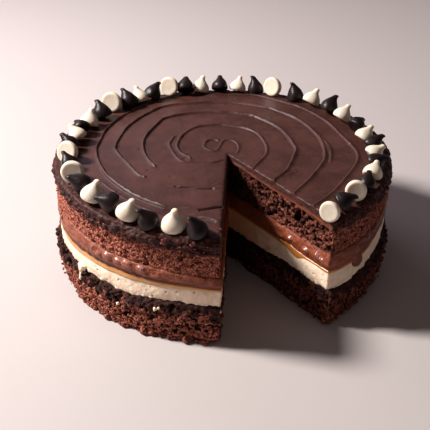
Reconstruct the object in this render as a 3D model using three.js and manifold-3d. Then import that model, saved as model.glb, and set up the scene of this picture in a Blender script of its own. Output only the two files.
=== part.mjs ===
// A layered chocolate cake with one slice taken out: two crumbly chocolate sponges, with vanilla cream,
// caramel and a glossy chocolate filling between them, frosting spread in rings on top, and a ring of
// forty chocolate drops, dark and white in turn.
//
// Millimetres, +Z up. The origin is on the cake's axis, on the flat underside of the lower sponge.
// The missing slice opens towards -Y. A bearing is an angle from -Y, growing towards +X.

import * as THREE from 'three';
import { mergeVertices } from 'three/addons/utils/BufferGeometryUtils.js';
import Module from 'manifold-3d';

const wasm = await Module();
wasm.setup();

// ---------------------------------------------------------------- driving dimensions
const CAKE_RADIUS = 100; // an eight-inch cake
const SLICE_ANGLE = 38.7; // degrees between the two cuts
const SLICE_TIP = new THREE.Vector2(0.9, -5.7); // where the two cuts meet, a little short of the axis
const GAP = 0.3; // between one piece and the next

// heights of the flat meetings between the layers, from the base up
const LOWER_SPONGE_TOP = 24.2;
const CREAM_TOP = 34.0;
const CARAMEL_TOP = 37.4;
const FILLING_TOP = 44.9;
const UPPER_SPONGE_TOP = 65.2;
const CAKE_TOP = 70.9;

const SHOULDER_START = 88; // radius where the top begins to fall away to the rim
const SHOULDER_DROP = 1.4; // how far it has fallen at the rim
const FRONT_SAG = 2.2; // how much lower the top is at the front, beside the left-hand cut
const FRONT = -17.15; // bearing of that lowest side
const SAG_START = 0.2 * CAKE_RADIUS; // how far in front of the axis the top begins to sag
const SPONGE_EDGE = 61.2; // height of the upper sponge's rounded top edge
const RIM_BULGE = 2.1; // how far the frosting's rim stands out from the sponge
const RIM_DROOP = 2.6; // how far the rim hangs down beside the left-hand cut

const SWIRL = {
  centre: new THREE.Vector2(-0.6, 3.3),
  rings: 4,
  pitch: 17.4,
  firstAcross: 27.6, // half-width of the inner ring
  firstAlong: 33.8, // half-length of the inner ring
  ridge: 1.2, // height of the ridge that the spatula leaves
  halfWidth: 1.7,
};

const ARC_STEPS = 72; // columns round the outside
const CUT_STEPS = 13; // stations along each cut of a sponge
const THIN_CUT_STEPS = 6; // stations along each cut of a thin layer

// torn crumb: size of its coarse lumps and of its fine pits, and how deep it goes
const COARSE_CRUMB = 9;
const FINE_CRUMB = 3.5;
const LOWER_CRUMB_DEPTH = 2;
const UPPER_CRUMB_DEPTH = 1.9;
const SHOULDER_CRUMB = 0.2; // share of that depth under the frosting
const CALM_TIP = 0.15; // share of each cut, from the tip, that stays flat

// how far the soft layers wave in and out, and how long their waves are
const CREAM_WAVE = { depth: 0.2, size: 14 };
const CARAMEL_WAVE = { depth: 0.2, size: 18 };
const FILLING_WAVE = { depth: 0.25, size: 15 };

// the ragged edge of the frosting: how uneven, the size of its flaps, and how broad its droop is
const RAGGED = { depth: 0.6, size: 7, halfWidth: 48, bearing: -18 };
const RIM_LUMPS = 5;

const rad = THREE.MathUtils.degToRad;
const UP = new THREE.Vector3(0, 0, 1);
const DOWN = new THREE.Vector3(0, 0, -1);

// ---------------------------------------------------------------- colours
const spongeBrown = new THREE.MeshStandardMaterial({ color: 0x5e3426, roughness: 0.95 });
const frostingBrown = new THREE.MeshStandardMaterial({ color: 0x4f302a, roughness: 0.45 });
const fillingBrown = new THREE.MeshStandardMaterial({ color: 0x6e3423, roughness: 0.2 });
const caramelAmber = new THREE.MeshStandardMaterial({ color: 0xd0884a, roughness: 0.3 });
const creamWhite = new THREE.MeshStandardMaterial({ color: 0xeadcc8, roughness: 0.6 });
const whiteChocolate = new THREE.MeshStandardMaterial({ color: 0xf1e4cc, roughness: 0.4 });
const darkChocolate = new THREE.MeshStandardMaterial({ color: 0x2a1a18, roughness: 0.35 });

// ---------------------------------------------------------------- the two kinds of drop
const WHITE_DROP = { name: 'white_drop', radius: 6.15, height: 11.8, curl: 1.2, material: whiteChocolate };
const DARK_DROP = { name: 'dark_drop', radius: 5.6, height: 12.6, curl: 2.2, material: darkChocolate };

// ---------------------------------------------------------------- small helpers
// A repeatable number from 0 to 1 for each corner of a lattice.
function hash(x, y, z) {
  let h = Math.imul(x, 374761393) ^ Math.imul(y, 668265263) ^ Math.imul(z, 2147483647 - 6491);
  h = Math.imul(h ^ (h >>> 13), 1274126177);
  return ((h ^ (h >>> 16)) >>> 0) / 4294967295;
}

// Smooth noise from -1 to 1, with lumps about `size` across.
function lumps(x, y, z, size) {
  const cell = [x, y, z].map((value) => Math.floor(value / size));
  const part = [x, y, z].map((value, axis) => value / size - cell[axis]);
  const ease = part.map((t) => t * t * (3 - 2 * t));
  let sum = 0;
  for (let corner = 0; corner < 8; corner += 1) {
    const step = [corner & 1, (corner >> 1) & 1, corner >> 2];
    const weight = step.reduce((w, s, axis) => w * (s ? ease[axis] : 1 - ease[axis]), 1);
    sum += weight * hash(cell[0] + step[0], cell[1] + step[1], cell[2] + step[2]);
  }
  return 2 * sum - 1;
}

// A smooth hill: 1 at the centre, 0 beyond the half-width.
function hill(distance, halfWidth) {
  const t = Math.min(Math.abs(distance) / halfWidth, 1);
  return (1 - t * t) ** 2;
}

// How far a bearing is from another, in degrees, from -180 to 180.
function bearingGap(bearing, other) {
  return THREE.MathUtils.euclideanModulo(bearing - other + 180, 360) - 180;
}

function bearingOf(x, y) {
  return THREE.MathUtils.radToDeg(Math.atan2(x, -y));
}

// ---------------------------------------------------------------- rays from the slice's tip
// Every point of a layer lies on a ray from the slice's tip, so the two cuts stay flat.
const FIRST_RAY = SLICE_ANGLE / 2;
const LAST_RAY = 360 - SLICE_ANGLE / 2;

function rayDirection(angle) {
  return new THREE.Vector2(Math.sin(rad(angle)), -Math.cos(rad(angle)));
}

function columnAngle(column) {
  return FIRST_RAY + ((LAST_RAY - FIRST_RAY) * column) / ARC_STEPS;
}

// Distance from the tip, along a ray, to a circle round the cake's axis.
function reachOf(angle, radius) {
  const along = SLICE_TIP.dot(rayDirection(angle));
  return -along + Math.sqrt(along * along - SLICE_TIP.lengthSq() + radius * radius);
}

function onRay(angle, distance, z) {
  const flat = rayDirection(angle).multiplyScalar(distance).add(SLICE_TIP);
  return new THREE.Vector3(flat.x, flat.y, z);
}

// ---------------------------------------------------------------- a closed shell, built up row by row
class Shell {
  constructor() {
    this.points = [];
    this.faces = [];
  }

  add(point) {
    return this.points.push(point) - 1;
  }

  triangle(a, b, c) {
    this.faces.push(a, b, c);
  }

  quad(a, b, c, d) {
    this.triangle(a, b, c);
    this.triangle(a, c, d);
  }

  // Joins two loops of equal length, the second above or outside the first.
  band(lower, upper) {
    const count = lower.length;
    for (let n = 0; n < count; n += 1) {
      const next = (n + 1) % count;
      this.quad(lower[n], lower[next], upper[next], upper[n]);
    }
  }

  // Joins two open rows, the second above or outside the first.
  strip(lower, upper) {
    for (let n = 1; n < lower.length; n += 1) this.quad(lower[n - 1], lower[n], upper[n], upper[n - 1]);
  }

  // Closes a flat loop with a cap that looks along `normal`.
  cap(loop, normal) {
    const across = new THREE.Vector3(normal.y, normal.z, normal.x).cross(normal).normalize();
    const along = normal.clone().cross(across);
    const outline = loop.map((index) => {
      const point = this.points[index];
      return new THREE.Vector2(point.dot(across), point.dot(along));
    });
    for (const [a, b, c] of THREE.ShapeUtils.triangulateShape(outline, [])) {
      const [p, q, r] = [outline[a], outline[b], outline[c]];
      const turnsLeft = (q.x - p.x) * (r.y - p.y) - (q.y - p.y) * (r.x - p.x) > 0;
      if (turnsLeft) this.triangle(loop[a], loop[b], loop[c]);
      else this.triangle(loop[a], loop[c], loop[b]);
    }
  }

  // Fills the upright face between two rows of points that lead out from the tip, one over the other.
  zip(lower, upper, right) {
    const distance = (index) => {
      const { x, y } = this.points[index];
      return Math.hypot(x - SLICE_TIP.x, y - SLICE_TIP.y);
    };
    let [n, m] = [0, 0];
    while (n < lower.length - 1 || m < upper.length - 1) {
      const upperNext = m < upper.length - 1 ? distance(upper[m + 1]) : Infinity;
      const lowerNext = n < lower.length - 1 ? distance(lower[n + 1]) : Infinity;
      const corners = [lower[n], lowerNext < upperNext ? lower[n + 1] : upper[m + 1], upper[m]];
      if (right) this.triangle(...corners);
      else this.triangle(corners[0], corners[2], corners[1]);
      if (lowerNext < upperNext) n += 1;
      else m += 1;
    }
  }

  geometry() {
    const geometry = new THREE.BufferGeometry();
    const xyz = this.points.flatMap((point) => [point.x, point.y, point.z]);
    geometry.setAttribute('position', new THREE.Float32BufferAttribute(xyz, 3));
    geometry.setIndex(this.faces);
    geometry.computeVertexNormals();
    return geometry;
  }
}

// One closed loop round a layer: the tip, out along the right-hand cut, round the outside, and back in
// along the left-hand cut. `stations` are the shares of each cut's length where its points lie.
function layerLoop(shell, stations, place) {
  const last = stations.length - 1;
  const loop = [shell.add(place(FIRST_RAY, 0, 'cut'))];
  for (let n = 0; n < last; n += 1) loop.push(shell.add(place(FIRST_RAY, stations[n], 'cut')));
  for (let column = 0; column <= ARC_STEPS; column += 1) {
    loop.push(shell.add(place(columnAngle(column), 1, 'side')));
  }
  for (let n = last - 1; n >= 0; n -= 1) loop.push(shell.add(place(LAST_RAY, stations[n], 'cut')));
  return loop;
}

function evenStations(steps) {
  return Array.from({ length: steps }, (_, n) => (n + 1) / steps);
}

// A layer from its profile: rows of { radius, z }, from the bottom up. `relief` moves a point in from
// the outline, and is given its place and the row.
function layer(rows, steps, relief) {
  const shell = new Shell();
  const stations = evenStations(steps);
  const loops = rows.map((row, level) =>
    layerLoop(shell, stations, (angle, share, part) => {
      const full = reachOf(angle, row.radius);
      const point = onRay(angle, full * share, row.z);
      const depth = relief ? relief(point, level, rows.length - 1, share) : 0;
      if (part === 'side') return onRay(angle, full - depth, row.z);
      const inwards = rayDirection(angle + (angle === FIRST_RAY ? 90 : -90)).multiplyScalar(depth);
      return share === 0 ? point : new THREE.Vector3(point.x + inwards.x, point.y + inwards.y, row.z);
    }),
  );
  shell.cap(loops[0], DOWN);
  for (let level = 1; level < loops.length; level += 1) shell.band(loops[level - 1], loops[level]);
  shell.cap(loops[loops.length - 1], UP);
  return shell.geometry();
}

// ---------------------------------------------------------------- the sponges
// Torn crumb: coarse lumps and finer pits, deepest half-way up a wall and shallow at its edges.
function crumbRelief(depth) {
  return (point, level, top, share) => {
    const coarse = 0.5 + 0.5 * lumps(point.x, point.y, point.z, COARSE_CRUMB);
    const fine = 0.5 + 0.5 * lumps(point.x + 3 * CAKE_RADIUS, point.y, point.z, FINE_CRUMB);
    const edge = level === 0 || level === top ? 0.25 : 1;
    const nearTip = share < CALM_TIP ? 0 : 1;
    return depth * edge * nearTip * (0.6 * coarse + 0.4 * fine);
  };
}

function lowerSponge() {
  const top = LOWER_SPONGE_TOP - GAP;
  const rows = [
    { radius: 97.4, z: 0 },
    { radius: 99.6, z: 2.2 },
    { radius: 100.6, z: 6 },
    { radius: 101, z: 10 },
    { radius: 101.2, z: 14 },
    { radius: 101.4, z: 18 },
    { radius: 101.2, z: 21.5 },
    { radius: 100.4, z: top },
  ];
  return layer(rows, CUT_STEPS, crumbRelief(LOWER_CRUMB_DEPTH));
}

// The upper sponge is a little domed: its top falls away to a rounded edge under the frosting.
const SPONGE_SHOULDER = [
  { radius: 99.8, z: SPONGE_EDGE - 0.9 },
  { radius: 98.6, z: SPONGE_EDGE },
  { radius: 95, z: SPONGE_EDGE + 1.9 },
  { radius: 88, z: UPPER_SPONGE_TOP - GAP },
];

function upperSponge() {
  const rows = [
    { radius: 99.8, z: FILLING_TOP },
    { radius: 100.2, z: 47.5 },
    { radius: 100.2, z: 50.5 },
    { radius: 100.2, z: 53.5 },
    { radius: 100.2, z: 56.5 },
    { radius: 100.2, z: 58.6 },
    ...SPONGE_SHOULDER,
  ];
  const crumb = crumbRelief(UPPER_CRUMB_DEPTH);
  const shoulder = rows.length - SPONGE_SHOULDER.length;
  return layer(rows, CUT_STEPS, (point, level, top, share) =>
    crumb(point, level, top, share) * (level < shoulder ? 1 : SHOULDER_CRUMB),
  );
}

// ---------------------------------------------------------------- cream, caramel and filling
function waving({ depth, size }) {
  return (point) => depth + depth * lumps(point.x, point.y, point.z, size);
}

function creamLayer() {
  const rows = [
    { radius: 99.4, z: LOWER_SPONGE_TOP },
    { radius: 99.9, z: LOWER_SPONGE_TOP + 3 },
    { radius: 99.7, z: CREAM_TOP - 3 },
    { radius: 99.4, z: CREAM_TOP - GAP },
  ];
  return layer(rows, THIN_CUT_STEPS, waving(CREAM_WAVE));
}

function caramelLayer() {
  const rows = [
    { radius: 99.6, z: CREAM_TOP },
    { radius: 100.1, z: (CREAM_TOP + CARAMEL_TOP) / 2 },
    { radius: 99.6, z: CARAMEL_TOP - GAP },
  ];
  return layer(rows, THIN_CUT_STEPS, waving(CARAMEL_WAVE));
}

// A closed mesh as a solid that can be cut and joined, and back.
function solidOf(geometry) {
  const bare = geometry.clone();
  bare.deleteAttribute('normal');
  bare.deleteAttribute('uv');
  const merged = mergeVertices(bare, 1e-4);
  const mesh = new wasm.Mesh({
    numProp: 3,
    vertProperties: new Float32Array(merged.attributes.position.array),
    triVerts: new Uint32Array(merged.index.array),
  });
  return new wasm.Manifold(mesh);
}

function geometryOf(solid) {
  const mesh = solid.getMesh();
  const geometry = new THREE.BufferGeometry();
  geometry.setAttribute('position', new THREE.Float32BufferAttribute(mesh.vertProperties, 3));
  geometry.setIndex(new THREE.Uint32BufferAttribute(mesh.triVerts, 1));
  geometry.computeVertexNormals();
  return geometry;
}

// The filling swells out between the sponges, and one run of it hangs down over the cream.
const DRIP = { bearing: 33.4, width: 10.5, height: 14, thickness: 3.4, z: 37.4 };

function fillingLayer() {
  const rows = [
    { radius: 99.7, z: CARAMEL_TOP },
    { radius: 100.9, z: CARAMEL_TOP + 1 },
    { radius: 101.3, z: CARAMEL_TOP + 3.4 },
    { radius: 100.8, z: FILLING_TOP - 1.6 },
    { radius: 99.7, z: FILLING_TOP - GAP },
  ];
  const ring = solidOf(layer(rows, THIN_CUT_STEPS, waving(FILLING_WAVE)));
  const bead = new THREE.SphereGeometry(0.5, 14, 10);
  bead.scale(DRIP.width, DRIP.thickness, DRIP.height);
  bead.rotateZ(rad(DRIP.bearing));
  const out = rayDirection(DRIP.bearing).multiplyScalar(CAKE_RADIUS + 1);
  bead.translate(out.x, out.y, DRIP.z);
  const core = new THREE.CylinderGeometry(CAKE_RADIUS + GAP, CAKE_RADIUS + GAP, CAKE_TOP, 2 * ARC_STEPS);
  core.rotateX(Math.PI / 2);
  core.translate(0, 0, CAKE_TOP / 2);
  const hanging = solidOf(bead).subtract(solidOf(core));
  return geometryOf(ring.add(hanging));
}

// ---------------------------------------------------------------- the frosting
// Distance from the slice's tip, along a ray, to one of the oval rings that the spatula left.
function ringDistance(angle, ring) {
  const across = SWIRL.firstAcross + SWIRL.pitch * ring;
  const along = SWIRL.firstAlong + SWIRL.pitch * ring;
  const turn = rad(FRONT);
  const origin = new THREE.Vector2();
  const start = SLICE_TIP.clone().sub(SWIRL.centre).rotateAround(origin, -turn);
  const step = rayDirection(angle).rotateAround(origin, -turn);
  const p = new THREE.Vector2(start.x / across, start.y / along);
  const d = new THREE.Vector2(step.x / across, step.y / along);
  const b = p.dot(d);
  const a = d.lengthSq();
  return (-b + Math.sqrt(b * b - a * (p.lengthSq() - 1))) / a;
}

// The inner rings fade out in the smooth part in front, to the left of the missing slice.
const FADE = { bearing: 316, halfWidth: 40 };

function ridgeHeight(angle, ring) {
  const outer = ring === SWIRL.rings - 1;
  const fade = outer ? 0 : hill(bearingGap(angle, FADE.bearing), FADE.halfWidth);
  const turn = rad(angle);
  const uneven = 0.8 + 0.2 * Math.sin(3 * turn + 2 * ring);
  return SWIRL.ridge * uneven * (1 - Math.min(1, 1.6 * fade));
}

// Height of the smooth top, without its ridges: level in the middle, lower in front, then down to the rim.
function topHeight(x, y) {
  const shoulder = (Math.hypot(x, y) - SHOULDER_START) / (CAKE_RADIUS - SHOULDER_START);
  const forward = new THREE.Vector2(x, y).dot(rayDirection(FRONT));
  const sag = THREE.MathUtils.smoothstep(forward, SAG_START, CAKE_RADIUS);
  return CAKE_TOP - SHOULDER_DROP * THREE.MathUtils.clamp(shoulder, 0, 1) ** 2 - FRONT_SAG * sag;
}

// The ray's stations across the top: three to a ridge, then the shoulder.
const SHOULDER_STATIONS = [91.5, 95.5, 98.8];

function topStations(angle) {
  const stations = [];
  for (let ring = 0; ring < SWIRL.rings; ring += 1) {
    const centre = ringDistance(angle, ring);
    const rise = ridgeHeight(angle, ring);
    stations.push({ distance: centre - SWIRL.halfWidth, rise: 0 });
    stations.push({ distance: centre, rise });
    stations.push({ distance: centre + SWIRL.halfWidth, rise: 0 });
  }
  for (const radius of SHOULDER_STATIONS) stations.push({ distance: reachOf(angle, radius), rise: 0 });
  return stations;
}

function topPoint(angle, station) {
  const point = onRay(angle, station.distance, 0);
  point.z = topHeight(point.x, point.y) + station.rise;
  return point;
}

// How far the rim hangs below its usual edge: most beside the left-hand cut.
function droop(point) {
  const bearing = bearingOf(point.x, point.y);
  const ragged = RAGGED.depth * lumps(point.x, point.y, point.z, RAGGED.size);
  return RIM_DROOP * hill(bearingGap(bearing, RAGGED.bearing), RAGGED.halfWidth) + ragged;
}

function frosting() {
  const shell = new Shell();
  const columns = Array.from({ length: ARC_STEPS + 1 }, (_, column) => columnAngle(column));

  // Rows from the flat underside, down over the sponge's shoulder, out round the rim and up.
  const rows = SPONGE_SHOULDER.slice(1).reverse()
    .map((row) => ({ radius: row.radius + GAP, z: row.z + GAP, rough: 0, hang: 0 }));
  rows.push({ radius: CAKE_RADIUS + 0.5, z: SPONGE_EDGE - 0.7, rough: 0, hang: 0 });
  rows.push({ radius: CAKE_RADIUS + 0.9, z: SPONGE_EDGE - 1.6, rough: 0.2, hang: 1 });
  rows.push({ radius: CAKE_RADIUS + RIM_BULGE, z: SPONGE_EDGE + 1.4, rough: 1.1, hang: 0.6 });
  rows.push({ radius: CAKE_RADIUS + RIM_BULGE - 0.2, z: SPONGE_EDGE + 4.2, rough: 1.1, hang: 0.2 });
  const arcs = rows.map((row) => columns.map((angle) => {
    const full = reachOf(angle, row.radius);
    const point = onRay(angle, full, row.z);
    const depth = row.rough * (0.5 + 0.5 * lumps(point.x, point.y, point.z, RIM_LUMPS));
    return shell.add(onRay(angle, full - depth, row.z - row.hang * droop(point)));
  }));

  // The top: every column's stations, from the tip out to the rim.
  const top = columns.map((angle) => {
    const stations = topStations(angle);
    return stations.map((station) => shell.add(topPoint(angle, station)));
  });
  arcs.push(top.map((stations) => stations[stations.length - 1]));
  const tipBelow = shell.add(onRay(FIRST_RAY, 0, rows[0].z));
  const tipAbove = shell.add(onRay(FIRST_RAY, 0, CAKE_TOP));

  shell.cap([tipBelow, ...arcs[0]], DOWN);
  for (let level = 1; level < arcs.length; level += 1) shell.strip(arcs[level - 1], arcs[level]);
  for (let column = 1; column <= ARC_STEPS; column += 1) {
    shell.triangle(tipAbove, top[column - 1][0], top[column][0]);
    shell.strip(top[column - 1], top[column]);
  }

  // The two cut faces, and the cut end of the rim at each.
  const underside = SPONGE_SHOULDER.length - 1;
  for (const [column, right] of [[0, true], [ARC_STEPS, false]]) {
    const ends = arcs.map((arc) => arc[column]);
    const outwards = rayDirection(columns[column] + (right ? -90 : 90));
    shell.zip([tipBelow, ...ends.slice(0, underside)], [tipAbove, ...top[column]], right);
    shell.cap(ends.slice(underside - 1), new THREE.Vector3(outwards.x, outwards.y, 0));
  }
  return geometryOf(solidOf(shell.geometry()).add(swirlHook()));
}

// The small S in the middle of the top, where the spatula was lifted off: a bead half sunk in the top.
function swirlHook() {
  const turn = rad(FRONT);
  const bends = [[-11.5, 7.5], [-11.3, 3], [-8, -0.6], [-4, -1], [-1.4, 3.5], [0.6, 9], [4, 12], [8.6, 8.5]];
  const path = bends.map(([x, y]) => {
    const flat = new THREE.Vector2(x, y).rotateAround(new THREE.Vector2(), turn);
    return new THREE.Vector3(flat.x, flat.y, CAKE_TOP - 0.1);
  });
  const section = new THREE.Shape();
  section.absellipse(0, 0, SWIRL.ridge * 0.8, SWIRL.ridge, 0, 2 * Math.PI);
  const bead = new THREE.ExtrudeGeometry(section, {
    steps: 16,
    curveSegments: 6,
    extrudePath: new THREE.CatmullRomCurve3(path),
  });
  return solidOf(bead);
}

// ---------------------------------------------------------------- the chocolate drops
// A drop's outline, from the middle of its flat base to its tip, in shares of its radius and height.
const DROP_OUTLINE = [[0, 0], [0.9, 0], [1, 0.14], [0.83, 0.4], [0.42, 0.67], [0.2, 0.88], [0, 1]];
const DROP_SEGMENTS = 10;
const DROP_MIDDLE = 0.33; // share of its height about which a drop is tipped over
const DROP_SEAT = 0.45; // how far every drop stays clear of the frosting

// Where each drop came to rest, from the slice round by the left: its bearing, counted clockwise, its
// distance from the axis, how many degrees its tip leans from upright, the bearing that it leans towards,
// and its size. Dark and white drops take turns. Those past 90 degrees lie on their side.
const DROP_PLACES = [
  [25, 98, 12, 255, 0.95], [33, 94.5, 3, 75, 1.06],
  [41, 97.5, 18, 255, 0.95], [49, 95.5, 20, 75, 1],
  [57, 96, 55, 250, 0.96], [65.5, 95, 24, 95, 1.04],
  [73.5, 95.5, 40, 255, 0.98], [82, 94, 103, 165, 1.08],
  [90, 93.5, 20, 210, 0.9], [97.5, 92, 112, 140, 1.06],
  [105.5, 92.5, 26, 225, 0.93], [113, 90.5, 34, 215, 0.96],
  [120.5, 91.5, 58, 195, 0.96], [128, 90.5, 25, 135, 0.98],
  [137.5, 91, 22, 205, 0.98], [147, 95, 100, 150, 1.06],
  [153.5, 91.5, 22, 215, 0.95], [160, 95.5, 22, 212, 0.9],
  [166.5, 91.5, 36, 108, 0.92], [175, 97, 98, 145, 1.04],
  [181.1, 94, 38, 165, 0.96], [187.9, 96, 20, 115, 0.92],
  [195.5, 96, 25, 165, 0.95], [203, 96, 20, 130, 0.9],
  [210, 97, 5, 225, 0.95], [218, 96, 98, 125, 1.04],
  [228, 93.5, 8, 245, 0.98], [237, 92, 28, 105, 0.95],
  [247.5, 90, 28, 110, 0.98], [257.5, 88, 34, 105, 0.95],
  [268.5, 88.5, 62, 120, 0.95], [279.5, 87.5, 38, 105, 0.94],
  [287, 90.5, 40, 95, 0.92], [296, 90.5, 50, 95, 0.92],
  [303, 92, 56, 80, 0.93], [310.5, 93, 48, 140, 0.92],
  [318.5, 94, 40, 150, 0.88], [325.5, 93, 102, 160, 0.97],
  [334, 96, 60, 90, 0.93], [341, 97.5, 103, 135, 0.92],
];

// A drop standing at the origin, its tip curled over towards +X.
function standingDrop(kind) {
  const size = new THREE.Vector2(kind.radius, kind.height);
  const outline = DROP_OUTLINE.map(([across, up]) => new THREE.Vector2(across, up).multiply(size));
  const drop = new THREE.LatheGeometry(outline, DROP_SEGMENTS);
  drop.rotateX(Math.PI / 2);
  const { position } = drop.attributes;
  for (let n = 0; n < position.count; n += 1) {
    const bend = Math.max(0, (2 * position.getZ(n)) / kind.height - 1);
    position.setX(n, position.getX(n) + kind.curl * bend * bend);
  }
  return drop;
}

// Height of the frosting under a point, with its ridges.
function frostingHeight(x, y) {
  const spoke = new THREE.Vector2(x, y).sub(SLICE_TIP);
  const angle = bearingOf(spoke.x, spoke.y);
  const stations = topStations(THREE.MathUtils.euclideanModulo(angle, 360));
  const next = stations.findIndex((station) => station.distance > spoke.length());
  const outer = next < 0 ? stations.length - 1 : Math.max(next, 1);
  const [near, far] = [stations[outer - 1], stations[outer]];
  const share = (spoke.length() - near.distance) / (far.distance - near.distance);
  return THREE.MathUtils.lerp(topPoint(angle, near).z, topPoint(angle, far).z, share);
}

// Tips a drop over, sets it at its place, square to the slope there, and lets it down on to the frosting.
function settledDrop(kind, [clockwise, radius, lean, toward, size]) {
  const out = rayDirection(-clockwise);
  const inner = out.clone().multiplyScalar(radius - kind.radius);
  const outer = out.clone().multiplyScalar(radius + kind.radius);
  const fall = frostingHeight(inner.x, inner.y) - frostingHeight(outer.x, outer.y);
  const drop = standingDrop(kind);
  drop.translate(0, 0, -DROP_MIDDLE * kind.height);
  drop.scale(size, size, size);
  drop.rotateY(rad(lean));
  drop.rotateZ(rad(toward + clockwise));
  drop.rotateY(Math.atan2(fall, 2 * kind.radius));
  drop.rotateZ(rad(-clockwise - 90));
  drop.translate(radius * out.x, radius * out.y, 0);
  const { position } = drop.attributes;
  let lift = -Infinity;
  for (let n = 0; n < position.count; n += 1) {
    const [x, y, z] = [position.getX(n), position.getY(n), position.getZ(n)];
    lift = Math.max(lift, frostingHeight(x, y) + DROP_SEAT - z);
  }
  drop.translate(0, 0, lift);
  return drop;
}

// ---------------------------------------------------------------- the finished cake
const cake = new THREE.Group();

function piece(name, geometry, material) {
  const mesh = new THREE.Mesh(geometry, material);
  mesh.name = name;
  cake.add(mesh);
  return mesh;
}

piece('lower_sponge', lowerSponge(), spongeBrown);
piece('cream_layer', creamLayer(), creamWhite);
piece('caramel_layer', caramelLayer(), caramelAmber);
piece('chocolate_filling', fillingLayer(), fillingBrown);
piece('upper_sponge', upperSponge(), spongeBrown);
piece('frosting', frosting(), frostingBrown);

DROP_PLACES.forEach((place, order) => {
  const kind = order % 2 ? WHITE_DROP : DARK_DROP;
  const count = String(Math.floor(order / 2) + 1).padStart(2, '0');
  piece(`${kind.name}_${count}`, settledDrop(kind, place), kind.material);
});

export default cake;
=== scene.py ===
# %% [markdown]
# # A chocolate layer cake with one slice taken out
# The real cake is two rough chocolate sponges with vanilla cream, caramel and a glossy chocolate filling
# between them, frosting spread in rings over the top, and forty piped chocolate drops round the rim.
# It is loaded here as plain solids that already have the right size and place. Each step below makes the
# part of the cake that is seen, at the same place, out of mesh and of shader nodes.

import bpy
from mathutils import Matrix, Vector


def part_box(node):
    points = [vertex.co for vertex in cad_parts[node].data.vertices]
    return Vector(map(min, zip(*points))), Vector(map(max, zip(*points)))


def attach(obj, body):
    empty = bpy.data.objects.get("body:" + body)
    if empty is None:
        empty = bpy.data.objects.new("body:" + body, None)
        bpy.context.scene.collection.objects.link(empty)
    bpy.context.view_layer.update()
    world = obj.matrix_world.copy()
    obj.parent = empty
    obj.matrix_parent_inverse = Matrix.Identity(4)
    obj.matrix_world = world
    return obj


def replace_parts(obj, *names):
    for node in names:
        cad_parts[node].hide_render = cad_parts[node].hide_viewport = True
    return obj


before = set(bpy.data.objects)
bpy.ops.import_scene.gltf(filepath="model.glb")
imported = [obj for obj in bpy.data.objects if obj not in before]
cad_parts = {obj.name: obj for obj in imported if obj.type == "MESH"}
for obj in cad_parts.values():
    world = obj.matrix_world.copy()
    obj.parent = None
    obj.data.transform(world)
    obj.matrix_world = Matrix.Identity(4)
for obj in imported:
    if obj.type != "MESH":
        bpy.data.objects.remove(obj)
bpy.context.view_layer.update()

# %% [markdown]
# ## The camera
# Everything that was read off the photograph depends on where the camera stood. It looks down on the cake
# by about 29 degrees from over half a metre away, so it comes before any shape. Distances are in millimetres
# throughout, and are turned into metres only when a mesh is made.

# %% Stand the camera where the photograph was taken
import math

import bmesh
import bpy
import numpy as np
from mathutils import Matrix, Vector
from mathutils.geometry import delaunay_2d_cdt

MM = 0.001
PICTURE, FOCAL = 430, 977.0  # width of the picture and length of the lens, in pixels
SENSOR = 36.0
EYE = np.array([-157.6, -510.7, 323.9])
HEADING, DOWNWARD, ROLL = (math.radians(angle) for angle in (16.626, 29.14, 0.235))

level_ahead = np.array([math.sin(HEADING), math.cos(HEADING), 0.0])
ahead = level_ahead * math.cos(DOWNWARD) - np.array([0.0, 0.0, math.sin(DOWNWARD)])
level_right = np.array([math.cos(HEADING), -math.sin(HEADING), 0.0])
level_up = np.cross(level_right, ahead)
RIGHTWARD = level_right * math.cos(ROLL) + level_up * math.sin(ROLL)
UPWARD = level_up * math.cos(ROLL) - level_right * math.sin(ROLL)

camera = bpy.data.objects.new("camera", bpy.data.cameras.new("camera"))
camera.data.sensor_width = SENSOR
camera.data.lens = FOCAL * SENSOR / PICTURE
camera.data.clip_start, camera.data.clip_end = 0.01, 20
turn = Matrix((RIGHTWARD, UPWARD, -ahead)).transposed()
camera.matrix_world = Matrix.Translation(Vector(EYE * MM)) @ turn.to_4x4()
bpy.context.scene.collection.objects.link(camera)
bpy.context.scene.camera = camera
print("lens", round(camera.data.lens, 1), "mm")

# %% [markdown]
# ## Floor and light
# The cake stands on a plain pale floor. One lamp on the left, 42 degrees up, gives shadows that fall to the
# right and soften with distance. A much weaker card, behind and to the left, adds hardly any light of its
# own, but it shines in the frosting and greys the left of the top. A weak even light from all round keeps
# the cut from going black.

# %% Lay the floor and hang the lamps
AIM = Vector((0, 0, 0.05))
VIEW_TURN = 17.15  # degrees from the middle of the slice to the camera's side


def from_camera_side(bearing):
    """Unit direction on the floor at a bearing counted from the camera's side, growing to the right."""
    turned = math.radians(bearing - VIEW_TURN)
    return np.array([math.sin(turned), -math.cos(turned)])


scene = bpy.context.scene
scene.view_settings.view_transform = "Standard"
scene.world = bpy.data.worlds.new("even light")
scene.world.use_nodes = True
surround = scene.world.node_tree.nodes["Background"]
surround.inputs["Color"].default_value = (1.0, 0.84, 0.82, 1)
surround.inputs["Strength"].default_value = 0.105


def hang_lamp(name, height, bearing, distance, size, power, colour):
    """A round lamp at so many degrees up and a bearing, distance in m, turned towards the cake."""
    lamp = bpy.data.objects.new(name, bpy.data.lights.new(name, "AREA"))
    lamp.data.shape = "DISK"
    lamp.data.size, lamp.data.energy, lamp.data.color = size, power, colour
    sideways = from_camera_side(bearing) * math.cos(math.radians(height))
    lamp.location = Vector((*sideways, math.sin(math.radians(height)))) * distance + AIM
    lamp.rotation_euler = (AIM - lamp.location).to_track_quat("-Z", "Y").to_euler()
    scene.collection.objects.link(lamp)
    return lamp


lamp = hang_lamp("lamp", 42, 267, 1.0, 0.2, 21.6, (1.0, 0.965, 0.93))
hang_lamp("card", 33, 212, 0.72, 0.45, 0.78, (0.92, 0.80, 1.0))

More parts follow.
